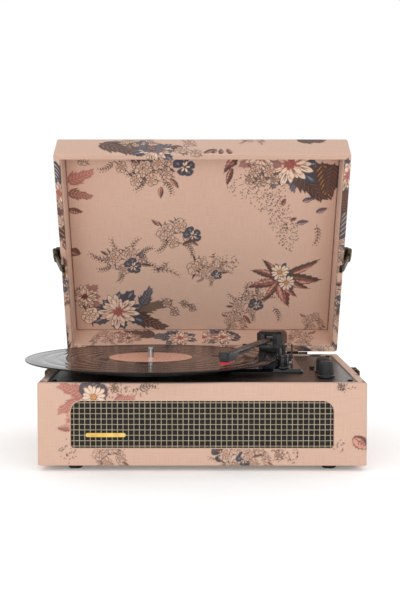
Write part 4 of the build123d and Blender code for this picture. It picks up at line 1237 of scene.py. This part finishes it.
def grille():
    """Thin wires woven over and under each other across the speaker opening."""
    low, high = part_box("grille_wires")
    depth = (low.y + high.y) / 2
    outline = grille_outline()
    columns = [WIRE_PITCH * (i - (WIRE_COLUMNS - 1) / 2) for i in range(WIRE_COLUMNS)]
    rows = [sum(GRILLE_Z) / 2 + WIRE_PITCH * (j - (WIRE_ROWS - 1) / 2) for j in range(WIRE_ROWS)]
    vertices, faces = [], []
    for axis, values in enumerate((columns, rows)):
        for index, value in enumerate(values):
            tube, tube_faces = wire(wire_path(outline, value, axis, index, depth), WIRE_R * MM)
            faces += [tuple(len(vertices) + i for i in face) for face in tube_faces]
            vertices += tube
    made = piece("woven_grille", smooth_mesh("woven_grille", vertices, faces), "case", WIRE)
    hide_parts("grille_wires")


# ---------------------------------------------------------------- record
def lathe(name, profile, segments, body, material):
    """A turned piece about the spindle from (radius, height) points in the case's frame."""
    vertices, faces, count = [], [], len(profile)
    for i in range(segments):
        angle = 2 * pi * i / segments
        for r, z in profile:
            vertices.append(at(SPINDLE[0] + r * cos(angle), SPINDLE[1] + r * sin(angle), z))
    for i in range(segments):
        a, b = i * count, (i + 1) % segments * count
        for j in range(count - 1):
            faces.append((a + j, b + j, b + j + 1, a + j + 1))
    mesh = smooth_mesh(name, vertices, faces)
    mesh.flip_normals()
    return piece(name, mesh, body, material)


def record():
    """The pressed disc: a beaded edge, bands of grooves with smooth gaps, and a raised label area."""
    top, low = RECORD_Z, RECORD_Z - RECORD_T
    edge = RECORD_R
    profile = [(HOLE_R, low), (LABEL_R + 1, low), (edge - 1.4, low + 0.15), (edge - 0.4, low + 0.35)]
    profile += [(edge, top - RECORD_T / 2), (edge - 0.3, top - 0.35), (edge - 1.0, top)]
    profile += [(edge - 2.6, top), (edge - 3.6, top - 0.28)]
    bands = [146.0, 128.0, 111.0, 95.0, 80.0, 66.0]
    for outer, inner in zip(bands, bands[1:]):
        profile += [(outer, top - 0.3), (outer - 0.35, top - 0.22)]
        profile += [(inner + 1.4, top - 0.22), (inner + 1.0, top - 0.3)]
    profile += [(65.6, top - 0.3), (LABEL_R + 3, top - 0.25)]
    profile += [(LABEL_R + 1.2, top - 0.05), (LABEL_R, top)]
    profile += [(HOLE_R + 0.2, top), (HOLE_R, top - 0.2), (HOLE_R, low)]
    disc = lathe("record_disc", profile[::-1], 160, "platter", record_material())
    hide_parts("record")


# ---------------------------------------------------------------- room
def studio():
    """A wide pale floor, an even white surround and soft lights."""
    half = FLOOR_SIZE / 2
    corners = [(-half, -half, 0), (half, -half, 0), (half, half, 0), (-half, half, 0)]
    mesh = smooth_mesh("floor", corners, [(0, 1, 2, 3)])
    floor = in_scene("floor", mesh)
    paint = Shader("floor_paint", (0.93, 0.93, 0.93), 0.6)
    paint.roughness(paint.between(paint.noise(20.0), 0.55, 0.7))
    paint.set(Emission_Color=(1.0, 1.0, 1.0, 1.0), Emission_Strength=0.16)
    mesh.materials.append(paint.material)
    floor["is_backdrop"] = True
    world = bpy.data.worlds.new("studio")
    bpy.context.scene.world = world
    world.use_nodes = True
    background = world.node_tree.nodes["Background"]
    background.inputs["Color"].default_value = (1.0, 1.0, 1.0, 1.0)
    background.inputs["Strength"].default_value = 1.0
    lamp("key", (-0.6, -1.9, 0.35), (0, 0, 0.2), 0.9, 7)
    lamp("fill", (0.8, -1.9, 0.35), (0, 0, 0.2), 0.9, 4)


def lamp(name, place, target, size, power):
    """A square soft light aimed at a point."""
    light = bpy.data.lights.new(name, "AREA")
    light.size, light.energy = size, power
    made = in_scene(name, light)
    made.location = place
    made.rotation_euler = (Vector(target) - Vector(place)).to_track_quat("-Z", "Y").to_euler()


def camera():
    """A view straight on, from a little above the record."""
    lens = bpy.data.cameras.new("camera")
    lens.sensor_fit = "VERTICAL"
    lens.sensor_height = 36.0
    lens.lens = CAMERA_LENS
    made = in_scene("camera", lens)
    made.location = at(*CAMERA_AT)
    made.rotation_euler = (pi / 2 - CAMERA_DOWN, 0, CAMERA_TURN)
    bpy.context.scene.camera = made


bpy.context.scene.view_settings.view_transform = "Standard"
finish_nodes()
case_skin()
lid_skin()
lid_lining()
grille()
record()
studio()
camera()

boxes = {"cad": CAD_BOX, "visual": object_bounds()}
{k: [list(corner) for corner in box] for k, box in boxes.items()}
